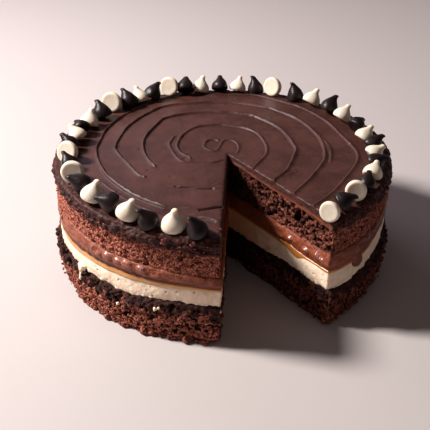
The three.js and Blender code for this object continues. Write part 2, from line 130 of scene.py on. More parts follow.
FLOOR_REACH = 4.0
floor_corners = [(x * FLOOR_REACH, y * FLOOR_REACH, 0) for x, y in ((-1, -1), (1, -1), (1, 1), (-1, 1))]
floor_mesh = bpy.data.meshes.new("floor")
floor_mesh.from_pydata(floor_corners, [], [(0, 1, 2, 3)])
floor = bpy.data.objects.new("floor", floor_mesh)
scene.collection.objects.link(floor)
print("lamp at", [round(value, 2) for value in lamp.location], "m")

# %% [markdown]
# ## Shader arithmetic
# A finish such as crumb is mostly sums: this much darker in the holes, that much redder lower down. Wired
# by hand in the shader editor that is dozens of Math nodes. Here a small class stands for one socket, so
# that `1 - hollow * 0.8` adds the nodes by itself, and one method makes every other kind of node.

# %% A socket that can be reckoned with, and a recipe that makes nodes
class Tap:
    """One output of a recipe's node, added and multiplied like a number."""

    def __init__(self, recipe, socket):
        self.recipe, self.socket = recipe, socket

    def reckon(self, operation, first, second):
        """The tap of one more Math node."""
        return self.recipe.node("ShaderNodeMath", {"operation": operation}, {0: first, 1: second})

    def __add__(self, other):
        return self.reckon("ADD", self, other)

    def __sub__(self, other):
        return self.reckon("SUBTRACT", self, other)

    def __rsub__(self, other):
        return self.reckon("SUBTRACT", other, self)

    def __mul__(self, other):
        return self.reckon("MULTIPLY", self, other)

    __radd__, __rmul__ = __add__, __mul__


class Recipe:
    """A material under construction. Its places are in millimetres, as everywhere in this file."""

    def __init__(self, name):
        self.material = bpy.data.materials.new(name)
        self.material.use_nodes = True
        self.tree = self.material.node_tree
        self.tree.nodes.clear()
        place = self.node("ShaderNodeTexCoord", output="Object")
        self.place = self.node("ShaderNodeVectorMath", {"operation": "SCALE"}, {0: place, "Scale": 1 / MM})

    def node(self, kind, settings=None, feeds=None, output=0):
        """A node with its settings, fed with taps or plain values, and the tap on one of its outputs."""
        made = self.tree.nodes.new(kind)
        for key, value in (settings or {}).items():
            setattr(made, key, value)
        for key, value in (feeds or {}).items():
            if isinstance(value, Tap):
                self.tree.links.new(value.socket, made.inputs[key])
            else:
                made.inputs[key].default_value = value
        return None if output is None else Tap(self, made.outputs[output])

    def grain(self, size, detail=2.0, stretch=(1, 1, 1)):
        """Noise from 0 to 1 with lumps about size mm across."""
        place = self.node("ShaderNodeVectorMath", {"operation": "MULTIPLY"}, {0: self.place, 1: stretch})
        return self.node("ShaderNodeTexNoise", None, {"Vector": place, "Scale": 1 / size, "Detail": detail})

    def step(self, value, low, high):
        """0 below low, 1 above high, and smooth between."""
        return self.node("ShaderNodeMapRange", {"interpolation_type": "SMOOTHSTEP"},
                         {"Value": value, "From Min": low, "From Max": high})

    def mix(self, share, first, second):
        """One colour turned into another by a share from 0 to 1."""
        first, second = ((*colour, 1) if isinstance(colour, tuple) else colour for colour in (first, second))
        return self.node("ShaderNodeMix", {"data_type": "RGBA"}, {0: share, 6: first, 7: second}, output=2)

    def mesh_value(self, name):
        """A number that the mesh carries at every point."""
        return self.node("ShaderNodeAttribute", {"attribute_name": name}, output="Fac")

    def height(self):
        """How high a place is above the floor (mm)."""
        return self.node("ShaderNodeSeparateXYZ", None, {0: self.place}, output="Z")

    def surface(self, colour, roughness, relief, relief_depth, **plain):
        """What light meets: relief is a height from 0 to 1 that stands relief_depth mm proud."""
        bump = self.node("ShaderNodeBump", None,
                         {"Height": relief, "Distance": relief_depth * MM, "Strength": 1.0})
        feeds = {"Base Color": colour, "Roughness": roughness, "Normal": bump}
        feeds.update({name.replace("_", " "): value for name, value in plain.items()})
        return self.node("ShaderNodeBsdfPrincipled", None, feeds)

    def end(self, surface):
        """Sends a surface to the material's output."""
        self.node("ShaderNodeOutputMaterial", None, {"Surface": surface}, output=None)
        return self.material

    def finish(self, *about, **plain):
        """Ends the recipe with one surface."""
        return self.end(self.surface(*about, **plain))


paper = Recipe("pale floor")
pale = (0.52, 0.465, 0.455, 1)
floor_mesh.materials.append(paper.finish(pale, 0.9, paper.grain(8), 0.01, Specular_IOR_Level=0.1))
print("shader tools ready")

# %% [markdown]
# ## Roughness of baked things
# Crumb, torn edges and bark-like frosting are random, but must come out the same on every run, so nothing
# here asks for a random number. `chance` scrambles the corner of a lattice into a number, `lumps` blends
# those numbers into smooth hills, and `bubbles` measures how far a place is from scattered centres, which
# is how air holes in a sponge are made.

# %% Repeatable lumps
LOW_BITS = 0xFFFFFFFF


def chance(corner, seed):
    """A repeatable number from 0 to 1 for each whole-numbered corner."""
    x, y, z = corner[..., 0], corner[..., 1], corner[..., 2]
    mixed = (x * 374761393 + y * 668265263 + z * 1440662683 + seed * 97531171) & LOW_BITS
    mixed = ((mixed ^ (mixed >> 13)) * 1274126177) & LOW_BITS
    return ((mixed ^ (mixed >> 16)) & 0xFFFFFF) / 0xFFFFFF


def lumps(place, size, seed=0):
    """Smooth hills and hollows from -1 to 1, about size mm across, at each place."""
    scaled = place / size
    cell = np.floor(scaled).astype(np.int64)
    part = scaled - cell
    part = part * part * (3 - 2 * part)
    total = 0.0
    for corner in range(8):
        step = np.array([corner & 1, corner >> 1 & 1, corner >> 2])
        total = total + np.where(step, part, 1 - part).prod(axis=-1) * chance(cell + step, seed)
    return 2 * total - 1


print("lumps near the tip", np.round(lumps(np.array([[0.0, 0.0, 40.0], [3.0, 1.0, 40.0]]), 4), 2))

# %% Repeatable bubbles, and curves that round things off
FAR = 9.0  # sizes: further than any bubble reaches


def bubbles(place, size, seed=0, filled=1.0):
    """Distance in sizes from each place to the nearest of scattered centres, one to a cell of size mm.
    Only a share of the cells is filled."""
    scaled = place / size
    cell = np.floor(scaled).astype(np.int64)
    nearest = np.full(place.shape[:-1], FAR)
    for neighbour in range(27):
        corner = cell + np.array([neighbour % 3 - 1, neighbour // 3 % 3 - 1, neighbour // 9 - 1])
        centre = corner + np.stack([chance(corner, seed + axis) for axis in (1, 2, 3)], axis=-1)
        gap = np.linalg.norm(scaled - centre, axis=-1) + FAR * (chance(corner, seed + 4) > filled)
        nearest = np.minimum(nearest, gap)
    return nearest


def smoothstep(value, low, high):
    """0 below low, 1 above high, and smooth between."""
    share = np.clip((value - low) / (high - low), 0, 1)
    return share * share * (3 - 2 * share)


def hill(distance, half_width):
    """1 in the middle, 0 beyond the half-width."""
    return (1 - np.clip(np.abs(distance) / half_width, 0, 1) ** 2) ** 2


def dome(gap):
    """Height of half a ball: 1 in the middle, 0 where the gap from it is 1 or more."""
    return np.sqrt(np.clip(1 - gap ** 2, 0, 1))


print("a dome half-way out is", round(float(dome(0.5)), 2), "high")

# %% [markdown]
# ## The walk round the cake
# Every layer shows along the same way round: out along the right-hand cut, round the outside, and back in
# along the left-hand cut to the tip. One list of columns along that walk serves all the layers, so the
# line where cream meets caramel is one row of numbers that both use, and no gap opens between them.

# %% Columns along the walk
CAKE_RADIUS = 100.0
TIP = np.array([0.9, -5.7])  # where the two cuts meet
FIRST_RAY, LAST_RAY = 19.35, 340.65  # bearings of the cuts, from the middle of the slice
CUT_COLUMNS, SIDE_COLUMNS = 200, 1140

stage_of_walk = np.concatenate([
    np.arange(CUT_COLUMNS) / CUT_COLUMNS,
    1 + np.arange(SIDE_COLUMNS) / SIDE_COLUMNS,
    2 + np.arange(CUT_COLUMNS) / CUT_COLUMNS])
ray_angle = np.radians(np.interp(stage_of_walk, [1, 2], [FIRST_RAY, LAST_RAY]))
ray_share = np.interp(stage_of_walk, [0, 1, 2, 3], [0, 1, 1, 0])[:, None]
ray = np.stack([np.sin(ray_angle), -np.cos(ray_angle)], axis=-1)


def reach(direction, radius):
    """Distance from the tip, along a direction, to a circle round the cake's axis."""
    along = direction @ TIP
    return -along + np.sqrt(along ** 2 - TIP @ TIP + radius ** 2)


def soften(row, times):
    """Evens out a closed row of values or points by its neighbours."""
    for _ in range(times):
        row = (np.roll(row, 1, axis=0) + 2 * row + np.roll(row, -1, axis=0)) / 4
    return row


def path_round(radius):
    """Where a wall of this radius runs, seen from above, with its corners a little rounded."""
    return soften(TIP + ray * reach(ray, radius)[:, None] * ray_share, 3)


def outward(path):
    """Unit directions square to a path, away from the cake."""
    along = np.roll(path, -1, axis=0) - np.roll(path, 1, axis=0)
    along /= np.linalg.norm(along, axis=-1, keepdims=True)
    return np.stack([along[:, 1], -along[:, 0]], axis=-1)


plain_path = path_round(CAKE_RADIUS)
print(len(plain_path), "columns")

# %% [markdown]
# A column is found by its mark. Outside, the mark is the bearing in degrees from the camera's side, because
# that is what can be read off the photograph. The right-hand cut takes the marks before, by distance from
# the tip, and the left-hand cut the marks after.

# %% A mark for every column
RIGHT_CORNER, LEFT_CORNER = 36.5, 357.85
CUT_LENGTH = 97.0

bearing = (np.degrees(np.arctan2(plain_path[:, 0], -plain_path[:, 1])) + VIEW_TURN) % 360


def on_right(distance):
    """The walk's mark for a distance in mm from the tip along the right-hand cut."""
    return RIGHT_CORNER * distance / CUT_LENGTH


def on_left(distance):
    """The same for the left-hand cut, which the walk comes back along."""
    return LEFT_CORNER + (1 - distance / CUT_LENGTH) * RIGHT_CORNER


mark = np.where(stage_of_walk < 1, on_right(CUT_LENGTH * ray_share[:, 0]),
                np.where(stage_of_walk >= 2, on_left(CUT_LENGTH * ray_share[:, 0]),
                         np.clip(bearing, RIGHT_CORNER, LEFT_CORNER)))
is_side = ((stage_of_walk >= 1) & (stage_of_walk < 2)).astype(float)
side_share = soften(is_side, 8)
from_tip = np.linalg.norm(plain_path - TIP, axis=-1)
calm_tip = smoothstep(from_tip, 1.5, 9)
walked = np.concatenate([[0], np.cumsum(np.linalg.norm(np.diff(plain_path, axis=0), axis=1))])


def from_mark(centre):
    """Distance along the walk, in mm, of every column from a mark."""
    return walked - np.interp(centre, mark, walked)


print(len(mark), "columns,", round(float(walked[-1])), "mm round")

# %% [markdown]
# ## Where one layer ends and the next begins
# The layers of a hand-built cake are not level. These heights were read along the cake: first the cut on
# the right by distance from the tip, then the outside by bearing, then the cut on the left.

# %% The wavy meetings of the layers
def meeting(right, outside, left, wobble, ragged, seed):
    """Height of a meeting at every column, from read-off stops, with a long wobble and a short one. The
    stops on the cuts go by distance from the tip, those outside by mark."""
    stops = [(on_right(distance), height) for distance, height in right] + outside
    stops += [(on_left(distance), height) for distance, height in left]
    smooth = soften(np.interp(mark, *zip(*stops)), 12)
    place = np.column_stack([plain_path, smooth])
    return smooth + wobble * lumps(place, 9, seed) + ragged * lumps(place, 2.4, seed + 6)


cream_foot = meeting(
    [(0, 22), (30, 22.5), (60, 24), (97, 24)],
    [(40, 22.6), (47, 22.7), (56, 24.7), (65, 27.1), (72, 29.6), (82, 30), (110, 27), (180, 24.5), (290, 25),
     (310, 24.5), (330, 24), (340, 25.5), (347, 26.5)],
    [(97, 25.5), (60, 24.5), (0, 22)], 0.35, 0.45, 1)
caramel_foot = meeting(
    [(0, 35.5), (50, 35.3), (58, 34), (64, 32.4), (68, 31.3), (71, 31.3), (74, 33.6), (80, 34.6), (97, 34.6)],
    [(40, 34), (47, 33.8), (55, 34), (61, 36), (67, 37.8), (72, 40.3), (82, 41), (110, 37), (180, 34),
     (250, 33.5), (290, 33), (300, 32.4), (310, 33), (330, 33.8), (350, 35)],
    [(97, 34.6), (0, 35.5)], 0.15, 0.08, 2)
filling_foot = meeting(
    [(0, 36.6), (58, 36.8), (64, 37.2), (70, 36.6), (80, 35.7), (97, 36)],
    [(40, 35.2), (47, 35), (55, 35.2), (61, 37.2), (67, 39), (72, 41.6), (82, 42.6), (110, 40), (180, 37.4),
     (250, 37), (290, 36.5), (300, 35.7), (310, 37), (350, 37.2)],
    [(97, 36), (0, 36.6)], 0.12, 0.08, 3)
sponge_foot = meeting(
    [(0, 45.5), (97, 45.5)],
    [(45, 46), (60, 46.8), (72, 49), (90, 50), (120, 48), (180, 45), (250, 46), (290, 48), (300, 48),
     (310, 47.5), (320, 46), (340, 44.5), (350, 44)],
    [(97, 43), (60, 44.5), (0, 45.5)], 0.6, 0.4, 4)
frosting_foot = meeting(
    [(0, 67.2), (20, 66.5), (40, 65.5), (60, 65), (80, 64), (95, 62)],
    [(50, 61), (70, 62), (110, 62.5), (180, 62), (250, 62.5), (290, 64), (300, 62.2), (310, 61.5),
     (320, 60.5), (330, 60.5), (340, 59.5), (350, 58.5)],
    [(97, 57.5), (90, 61), (60, 64.5), (0, 67.2)], 0.5, 0.3, 5)
print("cream is", round(float((caramel_foot - cream_foot).mean()), 1), "mm thick on average")

# %% [markdown]
# ## Making a wall
# A wall is a grid: rows up, columns along the walk. Each point can be pushed out or in, square to the wall,
# which is what gives crumb its holes and the filling its swell. The top and foot are closed with a fan
# round a point behind the tip, from which every column can be seen.

# %% Rows of places round the cake
def levels_between(foot, top, count):
    """Evenly spaced rows of heights from one meeting up to the next, and each row's share of the way."""
    share = np.linspace(0, 1, count)[:, None]
    return foot * (1 - share) + top * share, share


def wall_places(radii, heights):
    """Rows of places round the cake: a radius for each row, and a height for every column of it."""
    return np.array([np.column_stack([path_round(radius), height]) for radius, height in zip(radii, heights)])


def plain_places(heights):
    """The same on the plain outside, for lumps that don't hang on a layer's own radius."""
    return wall_places([CAKE_RADIUS] * len(heights), heights)


def pushed(places, push):
    """The same rows with every place moved out by push (mm), square to its row."""
    moved = places.copy()
    for row, out in zip(moved, push):
        row[:, :2] += outward(row[:, :2]) * out[:, None]
    return moved


filling_middle = levels_between(filling_foot, sponge_foot, 3)[0]
print("middle of the filling", np.round(plain_places(filling_middle)[1, 0], 1))

# %% Faces between the rows, and fans that close the foot and the top
FAN_CENTRE = np.array([0.9, 12.0])


def wall_faces(rows, columns):
    """Four-sided faces between rows of points that run round and meet."""
    level, column = np.meshgrid(np.arange(rows - 1), np.arange(columns), indexing="ij")
    after = (column + 1) % columns
    corners = np.stack([level * columns + column, level * columns + after,
                        (level + 1) * columns + after, (level + 1) * columns + column], axis=-1)
    return corners.reshape(-1, 4).tolist()


def fan(loop, centre, upward):
    """Triangles that close a loop of point numbers round one centre point."""
    after = np.roll(loop, -1)
    pairs = (loop, after) if upward else (after, loop)
    return np.column_stack([pairs[0], pairs[1], np.full(len(loop), centre)]).tolist()


def closed_faces(rows, columns):
    """Faces of a wall, closed at its foot and its top by the two points that follow its own."""
    loop, count = np.arange(columns), rows * columns
    return wall_faces(rows, columns) + fan(loop, count, False) + fan(loop + count - columns, count + 1, True)


def close_wall(points, values):
    """Points and faces of a wall with its foot and top closed, and its values filled up to match."""
    middles = [(*FAN_CENTRE, row[:, 2].mean()) for row in (points[0], points[-1])]
    filled = {key: np.append(np.asarray(numbers).ravel(), [0, 0]) for key, numbers in values.items()}
    return np.vstack([points.reshape(-1, 3), middles]), closed_faces(*points.shape[:2]), filled


print("a wall of 3 rows of 4 has", len(closed_faces(3, 4)), "faces")

# %% Meshes that belong to the cake
def make_piece(name, points, faces, material, slot, values=None):
    """A mesh from points in mm that moves with the cake, with values for its finish at each point."""
    mesh = bpy.data.meshes.new(name)
    mesh.from_pydata((np.asarray(points) * MM).tolist(), [], faces)
    for key, numbers in (values or {}).items():
        layer = mesh.attributes.new(key, "FLOAT", "POINT")
        layer.data.foreach_set("value", np.asarray(numbers, np.float32).ravel())
    mesh.materials.append(material)
    mesh.shade_smooth()
    piece = bpy.data.objects.new(name, mesh)
    scene.collection.objects.link(piece)
    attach(piece, "root")
    print(name, "has", sum(len(face) - 2 for face in faces), "triangles")
    return piece


def gather(parts):
    """Points and faces of several small meshes, joined into one."""
    all_points, all_faces, count = [], [], 0
    for points, faces in parts:
        all_points.append(points)
        all_faces += [[corner + count for corner in face] for face in faces]
        count += len(points)
    return np.vstack(all_points), all_faces


# %% [markdown]
# ## Crumb
# Chocolate sponge tears rather than cuts. Its face is a crowd of air holes of several sizes with thin walls
# between them, and grains that stand proud. A bump texture would leave the outline smooth, so the holes are
# pushed into the mesh: small grains everywhere, and open holes mostly where the knife went through. The
# baked outside is closer, with holes only in patches. Each point also keeps how deep it lies in a hole, for
# the painted shade that darkens its colour there.

# %% Holes and grains
# distance from the tip along the right-hand cut, height, half-width and depth (mm) of the largest holes
CUT_HOLES = [(54.7, 53.3, 2.1, 3.4), (67.2, 58.7, 2.9, 4.0), (65.6, 54.6, 1.8, 3.0), (78.1, 60.7, 1.9, 3.0),
             (73.2, 47.4, 2.0, 3.2), (58.6, 50.0, 1.6, 2.6), (88, 58.1, 1.2, 2.4), (89.4, 56.8, 1.3, 2.4),
             (86.7, 51.2, 1.5, 2.6), (83.1, 52.5, 1.1, 2.2), (82.5, 49.5, 1.2, 2.2), (69, 51.8, 1.3, 2.4),
             (93.7, 49.9, 1.5, 2.4), (34.9, 56.9, 1.6, 2.6), (46.6, 63, 1.5, 2.4), (41.4, 61.5, 1.3, 2.2)]
SIDE_HOLE = (311, 22.5, 2.4, 3.6)
NAMED_HOLES = [(on_right(distance), *hole) for distance, *hole in CUT_HOLES] + [SIDE_HOLE]


def crumb(place, coarse, closed):
    """How far to push each place out (mm), and how hollow it is there from 0 to 1. The outside is closed by
    baking to a share."""
    big_grain = dome(bubbles(place, 2.3, 10) / 0.76)
    small_grain = dome(bubbles(place, 1.3, 20) / 0.74)
    torn = 1 - 0.35 * side_share * closed
    relief = torn * (0.95 * big_grain + 0.62 * small_grain - 1.25)
    relief = relief + 0.55 * lumps(place, 6.0, 40) + 0.3 * lumps(place, 1.0, 41)
    hollow = 1.2 - 0.8 * big_grain - 0.6 * small_grain + 0.3 * lumps(place, 3.0, 42)
    hollow = np.clip(hollow, 0, 1) * torn
    patches = smoothstep(lumps(place, 11.0, 43), 0.3 * closed - 0.3, 0.4 * closed + 0.1)
    opened = np.maximum(1 - side_share, (0.9 - 0.3 * closed) * patches)
    for size, across, deep, filled, seed in ((4.4, 0.40, 2.5 * coarse, 0.6, 50), (2.6, 0.42, 1.4, 0.6, 60)):
        hole = dome(bubbles(place, size, seed, filled) / across) * opened
        relief = relief - deep * hole
        hollow = np.maximum(hollow, hole)
    return relief, hollow


print(len(NAMED_HOLES), "holes are set by hand")

# %% The wall of a sponge
# painted shade: darker over the cut faces, darkest near the tip, deep in the cut
moist = (1 - side_share) * (0.56 + 0.42 * (1 - smoothstep(from_tip, 10, 60)))


def sponge_wall(name, outline, foot, top, rows, material, coarse, closed, calm, right_painted_shade, ledge):
    """A sponge from its outline, whose radii are given at shares of its height. calm is a share of the
    crumb's depth, and the argument after it how much painted shade darkens the outside on the right."""
    heights, share = levels_between(foot, top, rows)
    places = wall_places(np.interp(share[:, 0], *zip(*outline)), heights)
    push, hollow = (calm * value for value in crumb(places, coarse, closed))
    for centre, height, across, deep in NAMED_HOLES:
        hole = dome(np.hypot(from_mark(centre)[None, :], heights - height) / across)
        push = push - deep * hole
        hollow = np.maximum(hollow, hole)
    edge = 0.45 + 0.55 * hill(2 * share - 1, 1.0) ** 0.25
    push = push * edge * (0.25 + 0.75 * calm_tip) + ledge(heights, share)
    # painted shade on the cuts, darkest near the tip, and on the outside on the right, away from the lamp
    painted_shade_share = np.maximum(moist, right_painted_shade * hill(mark - 55, 60)) + 0 * heights
    shell, faces, values = close_wall(pushed(places, push), {"hollow": hollow * edge, "moist": painted_shade_share})
    return make_piece(name, shell, faces, material, "sponge", values)


print("moist share at the tip", round(float(moist.max()), 2))

# %% [markdown]
# The colour follows the shape: torn crumb is reddish brown, with painted light on its raised grains and
# painted shade between them, the bottom of a hole painted nearly black and the cuts darker as painted shade,
# and the crust above or below is darker and a little shinier. The two sponges differ only in where their
# crust lies.

# %% Crumb finish
def sponge_finish(name, crust_from, crust_to, straying):
    """Crumb: reddish brown where torn open, with a dark crust. Painted light and shade make it lighter on its
    grains, darker between them and over the cuts, and nearly black in its holes.
    """
    recipe = Recipe(name)
    hollow = recipe.mesh_value("hollow")
    height = recipe.height()
    fine = recipe.grain(0.9, 4.0)
    # painted light and shade, besides the crumb's own mottling: the same noise raises the grains in the bump,
    # so the raised grains get the lighter colour and the gaps between them the darker
    torn = recipe.mix(recipe.step(fine, 0.40, 0.62), (0.140, 0.037, 0.025), (0.62, 0.210, 0.140))
    # painted shade: the crumb is darkened over the cuts, most near the tip, and on the outside on the right
    warm = recipe.mix(recipe.mesh_value("moist"), torn, (0.056, 0.0145, 0.0100))
    crust = recipe.step(height + (recipe.grain(5.0, 3.0) - 0.5) * straying, crust_from, crust_to)
    toned = recipe.mix(crust * 0.93, warm, (0.026, 0.011, 0.010))
    # painted shade: small dark spots stand for holes too small for the mesh
    spots = recipe.step(recipe.grain(2.2, 3.0), 0.54, 0.64)
    spotted = recipe.mix(spots * 0.7, toned, (0.020, 0.006, 0.005))
    # painted shade: the bottoms of the holes nearly black
    deep = recipe.mix(recipe.step(hollow, 0.22, 0.72) * 0.97, spotted, (0.005, 0.0014, 0.0011))
    rough = 0.98 - crust * 0.40
    relief = fine * 0.6 + recipe.grain(0.45, 2.0) * 0.4
    return recipe.finish(deep, rough, relief, 0.9, Specular_IOR_Level=0.10)


lower_crumb = sponge_finish("lower sponge crumb", 14.5, 20.5, 24.0)
upper_crumb = sponge_finish("upper sponge crumb", 65.5, 69.5, 17.0)
print("crumb finishes:", lower_crumb.name, "and", upper_crumb.name)

# %% [markdown]
# The lower sponge is rounded at its foot and swells just below the cream, where its dark crust stands out
# as a ledge at the far left. The upper sponge is cut straighter.

# %% The two sponges
left_side = hill(mark - 285, 60)
right_trim = -1.3 * hill(mark - 66, 40)[None, :]


def lower_ledge(heights, share):
    """The crust that juts out on the left, its chunks, and the torn foot."""
    place = plain_places(heights)
    chunks = 1.1 * lumps(place, 3.6, 44) + 0.8 * lumps(place, 1.9, 46)
    chunks = chunks * hill(heights - 20, 8) * side_share
    foot = (1.2 * lumps(place, 4.5, 45) - 0.4) * (1 - smoothstep(heights, 1, 8)) * (0.3 + 0.7 * calm_tip)
    return left_side * hill(heights - 19, 9) + chunks + foot + right_trim


LOWER_OUTLINE = [(0, 97.6), (0.06, 99.4), (0.16, 100.6), (0.4, 101.4), (0.75, 101.9), (0.93, 101.2), (1, 99.6)]
UPPER_OUTLINE = [(0, 99.9), (0.08, 100.4), (0.8, 100.5), (1, 99.4)]

lower_sponge = sponge_wall(
    "lower_sponge_crumb", LOWER_OUTLINE, np.zeros_like(mark), cream_foot, 52, lower_crumb,
    coarse=1.0, closed=0.0, calm=1.0, right_painted_shade=0.66, ledge=lower_ledge)
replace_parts(lower_sponge, "lower_sponge")

upper_sponge = sponge_wall(
    "upper_sponge_crumb", UPPER_OUTLINE, sponge_foot, frosting_foot + 1.2, 44, upper_crumb,
    coarse=1.15, closed=1.0, calm=1 - 0.5 * hill(mark - 290, 17), right_painted_shade=0.25,
    ledge=lambda heights, share: right_trim + 0 * share)
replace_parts(upper_sponge, "upper_sponge")

# %% [markdown]
# ## Cream, caramel and filling
# The cream is thick and matt with small pits, and bulges a little. The caramel is a thin glossy band. The
# filling is poured: it swells out from under the sponge, catches the lamp on its lumps, and one run of it
# hangs over the cream on the right. Each is a short wall between two meetings.

# %% The wall of something spreadable
LAP = 0.35  # mm that a soft layer runs on behind its neighbours


def soft_wall(name, foot, top, rows, radius, swell, relief, material, slot, values):
    """A short wall: swell is its bulge at mid-height, relief and values are worked out at each place."""
    heights, share = levels_between(foot - LAP, top + LAP, rows)
    bulge = swell * (1 - (2 * share - 1) ** 2) ** 0.6
    path = plain_places(heights)
    push = bulge + relief(path, share) * (0.3 + 0.7 * calm_tip) + right_trim
    points = pushed(wall_places([radius] * rows, heights), push)
    extra = {key: numbers(path, share) for key, numbers in values.items()}
    closed, faces, filled = close_wall(points, extra)
    return make_piece(name, closed, faces, material, slot, filled)


print("soft layers lap by", LAP, "mm")

# %% The cream
STREAK = 44  # mm from the tip


def cream_pits(path, share):
    """Small air holes, deepest in the middle."""
    return np.clip(1 - (bubbles(path, 3.4, 50, 0.5) / 0.22) ** 2, 0, 1)


def cream_relief(path, share):
    """Broad lumps and small ones, pits, and a torn foot."""
    torn = (1 - smoothstep(share, 0.0, 0.2)) * np.clip(lumps(path, 1.7, 52), -0.3, 1)
    waves = 0.35 * lumps(path, 6.0, 51) + 0.16 * lumps(path, 1.8, 53)
    return waves - 0.9 * cream_pits(path, share) + 0.8 * torn


def cream_stain(path, share):
    """The tan streak that the caramel left half-way along the right-hand cut."""
    beyond = mark * CUT_LENGTH / RIGHT_CORNER - STREAK
    return hill(beyond[None, :], 3.2) * hill(path[..., 2] - 26.5 + 0.3 * beyond[None, :], 1.5)


def cream_tip_shade(path, share):
    """Painted shade: deep in the cut, near the tip, the cream is darker and browner."""
    return (1 - side_share) * (1 - smoothstep(from_tip, 12, 62)) + 0 * share


def cream_finish():
    """Pale and matt, with painted shade in its pits and deep in the cut near the tip, and brown where stained.
    """
    recipe = Recipe("vanilla cream")
    pits = recipe.mesh_value("pits")
    stain = recipe.mesh_value("stain")
    patchy = recipe.step(recipe.grain(4.0, 3.0), 0.35, 0.7)
    mottled = recipe.mix(patchy, (0.83, 0.62, 0.45), (0.93, 0.76, 0.60))
    # painted shade in the pits
    pitted = recipe.mix(pits * 0.6, mottled, (0.50, 0.30, 0.14))
    # painted shade: dark tan on the cut near the tip
    soaked = recipe.mix(recipe.mesh_value("soaked"), pitted, (0.70, 0.37, 0.20))
    stained = recipe.mix(stain * 0.8, soaked, (0.50, 0.22, 0.055))
    relief = recipe.grain(0.9, 3.0)
    return recipe.finish(stained, 0.62 - stain * 0.3, relief, 0.22, Subsurface_Weight=0.25,
                         Subsurface_Radius=(1.0, 0.6, 0.35), Subsurface_Scale=0.0022, Specular_IOR_Level=0.4)


cream = soft_wall(
    "vanilla_cream", cream_foot, caramel_foot, 20, 99.4, 0.8, cream_relief, cream_finish(), "cream",
    {"pits": cream_pits, "stain": cream_stain, "soaked": cream_tip_shade})
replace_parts(cream, "cream_layer")

# %% The caramel
def caramel_shade(path, share):
    """Darker towards the filling, and in the cut."""
    return np.clip(smoothstep(share, 0.4, 1.0) + 0.75 * (1 - side_share), 0, 1)


def caramel_finish():
    """Glossy amber, browner where the mesh asks for it."""
    recipe = Recipe("caramel")
    depth = recipe.mesh_value("shade")
    colour = recipe.mix(depth, (0.62, 0.31, 0.105), (0.46, 0.15, 0.024))
    return recipe.finish(colour, 0.3 + recipe.grain(3.0) * 0.15, recipe.grain(1.6), 0.12, Coat_Weight=0.25,
                         Coat_Roughness=0.15, Subsurface_Weight=0.3, Subsurface_Radius=(1.0, 0.45, 0.12),
                         Subsurface_Scale=0.002)


caramel = soft_wall(
    "caramel_band", caramel_foot, filling_foot, 8, 99.7, 0.7, lambda path, share: 0.18 * lumps(path, 5.0, 60),
    caramel_finish(), "caramel", {"shade": caramel_shade})
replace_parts(caramel, "caramel_layer")

# %% [markdown]
# The filling has two tones on the left: a glossy milk-chocolate swell on top, and under it, right above the
# caramel, a darker purple-brown band that is painted shade where the swell curves under. Its lumps are made in
# the mesh so that each catches its own spot of light.

# %% The filling's shape
# mark or distance from the tip, height and half-width (mm) of the beads that catch the lamp
SIDE_BEADS = [(314.5, 44.6, 1.1), (317.6, 42.8, 1.5), (321.2, 43.5, 1.9), (325.4, 43.5, 1.5),
              (329.3, 43.7, 2.0), (334.4, 43.2, 1.8), (61.7, 46.0, 1.3), (59.2, 45.2, 1.5), (54.9, 44.2, 1.4),
              (48.6, 41.0, 1.2), (44.9, 40.6, 1.2)]
CUT_BEADS = [(63.5, 42.4, 1.5), (77.5, 40.9, 1.9), (87, 42.0, 2.3), (92.8, 41.4, 1.6), (95.3, 40.2, 1.2)]
BEADS = SIDE_BEADS + [(on_right(distance), *bead) for distance, *bead in CUT_BEADS]
BEAD_STRETCH = 0.6  # a bead is longer along the wall than it is high


def bead_gaps(path):
    """Distance of every place from each bead, in its half-widths."""
    return [np.hypot(BEAD_STRETCH * from_mark(centre)[None, :], path[..., 2] - height) / across
            for centre, height, across in BEADS]


def filling_relief(path, share):
    """A swell that overhangs the dark band of painted shade, the beads on it, and lumps."""
    swell = smoothstep(share, 0.18, 0.4) * 0.5
    for gap, (_, _, across) in zip(bead_gaps(path), BEADS):
        swell = swell + 0.7 * across * dome(gap)
    ripples = 0.7 * lumps(path * np.array([0.38, 0.38, 1.0]), 3.0, 71) * hill(2 * share - 1.1, 0.9)
    return swell + ripples + 0.4 * lumps(path, 9.0, 70) + 0.3 * lumps(path, 2.2, 72)


def filling_shade_share(path, share):
    """Painted shade: a dark band on the lower third under the swell, mostly on the left, some on the outside
    on the right, and faint elsewhere.
    """
    lower = 1 - smoothstep(share + 0.08 * lumps(path, 7.0, 73), 0.24, 0.34)
    even = np.maximum(0.45 * hill(mark - 58, 24), 0.12 * (1 - side_share))
    return np.maximum(lower * (0.2 + 0.8 * hill(mark - 325, 70)), even)


def filling_wet(path, share):
    """Wettest on the beads."""
    return np.max([hill(gap, 1.6) for gap in bead_gaps(path)], axis=0)


def filling_sliced(path, share):
    """Where the knife went through, the filling is warmer and more even."""
    return 1 - side_share + 0 * share


print(len(BEADS), "beads")

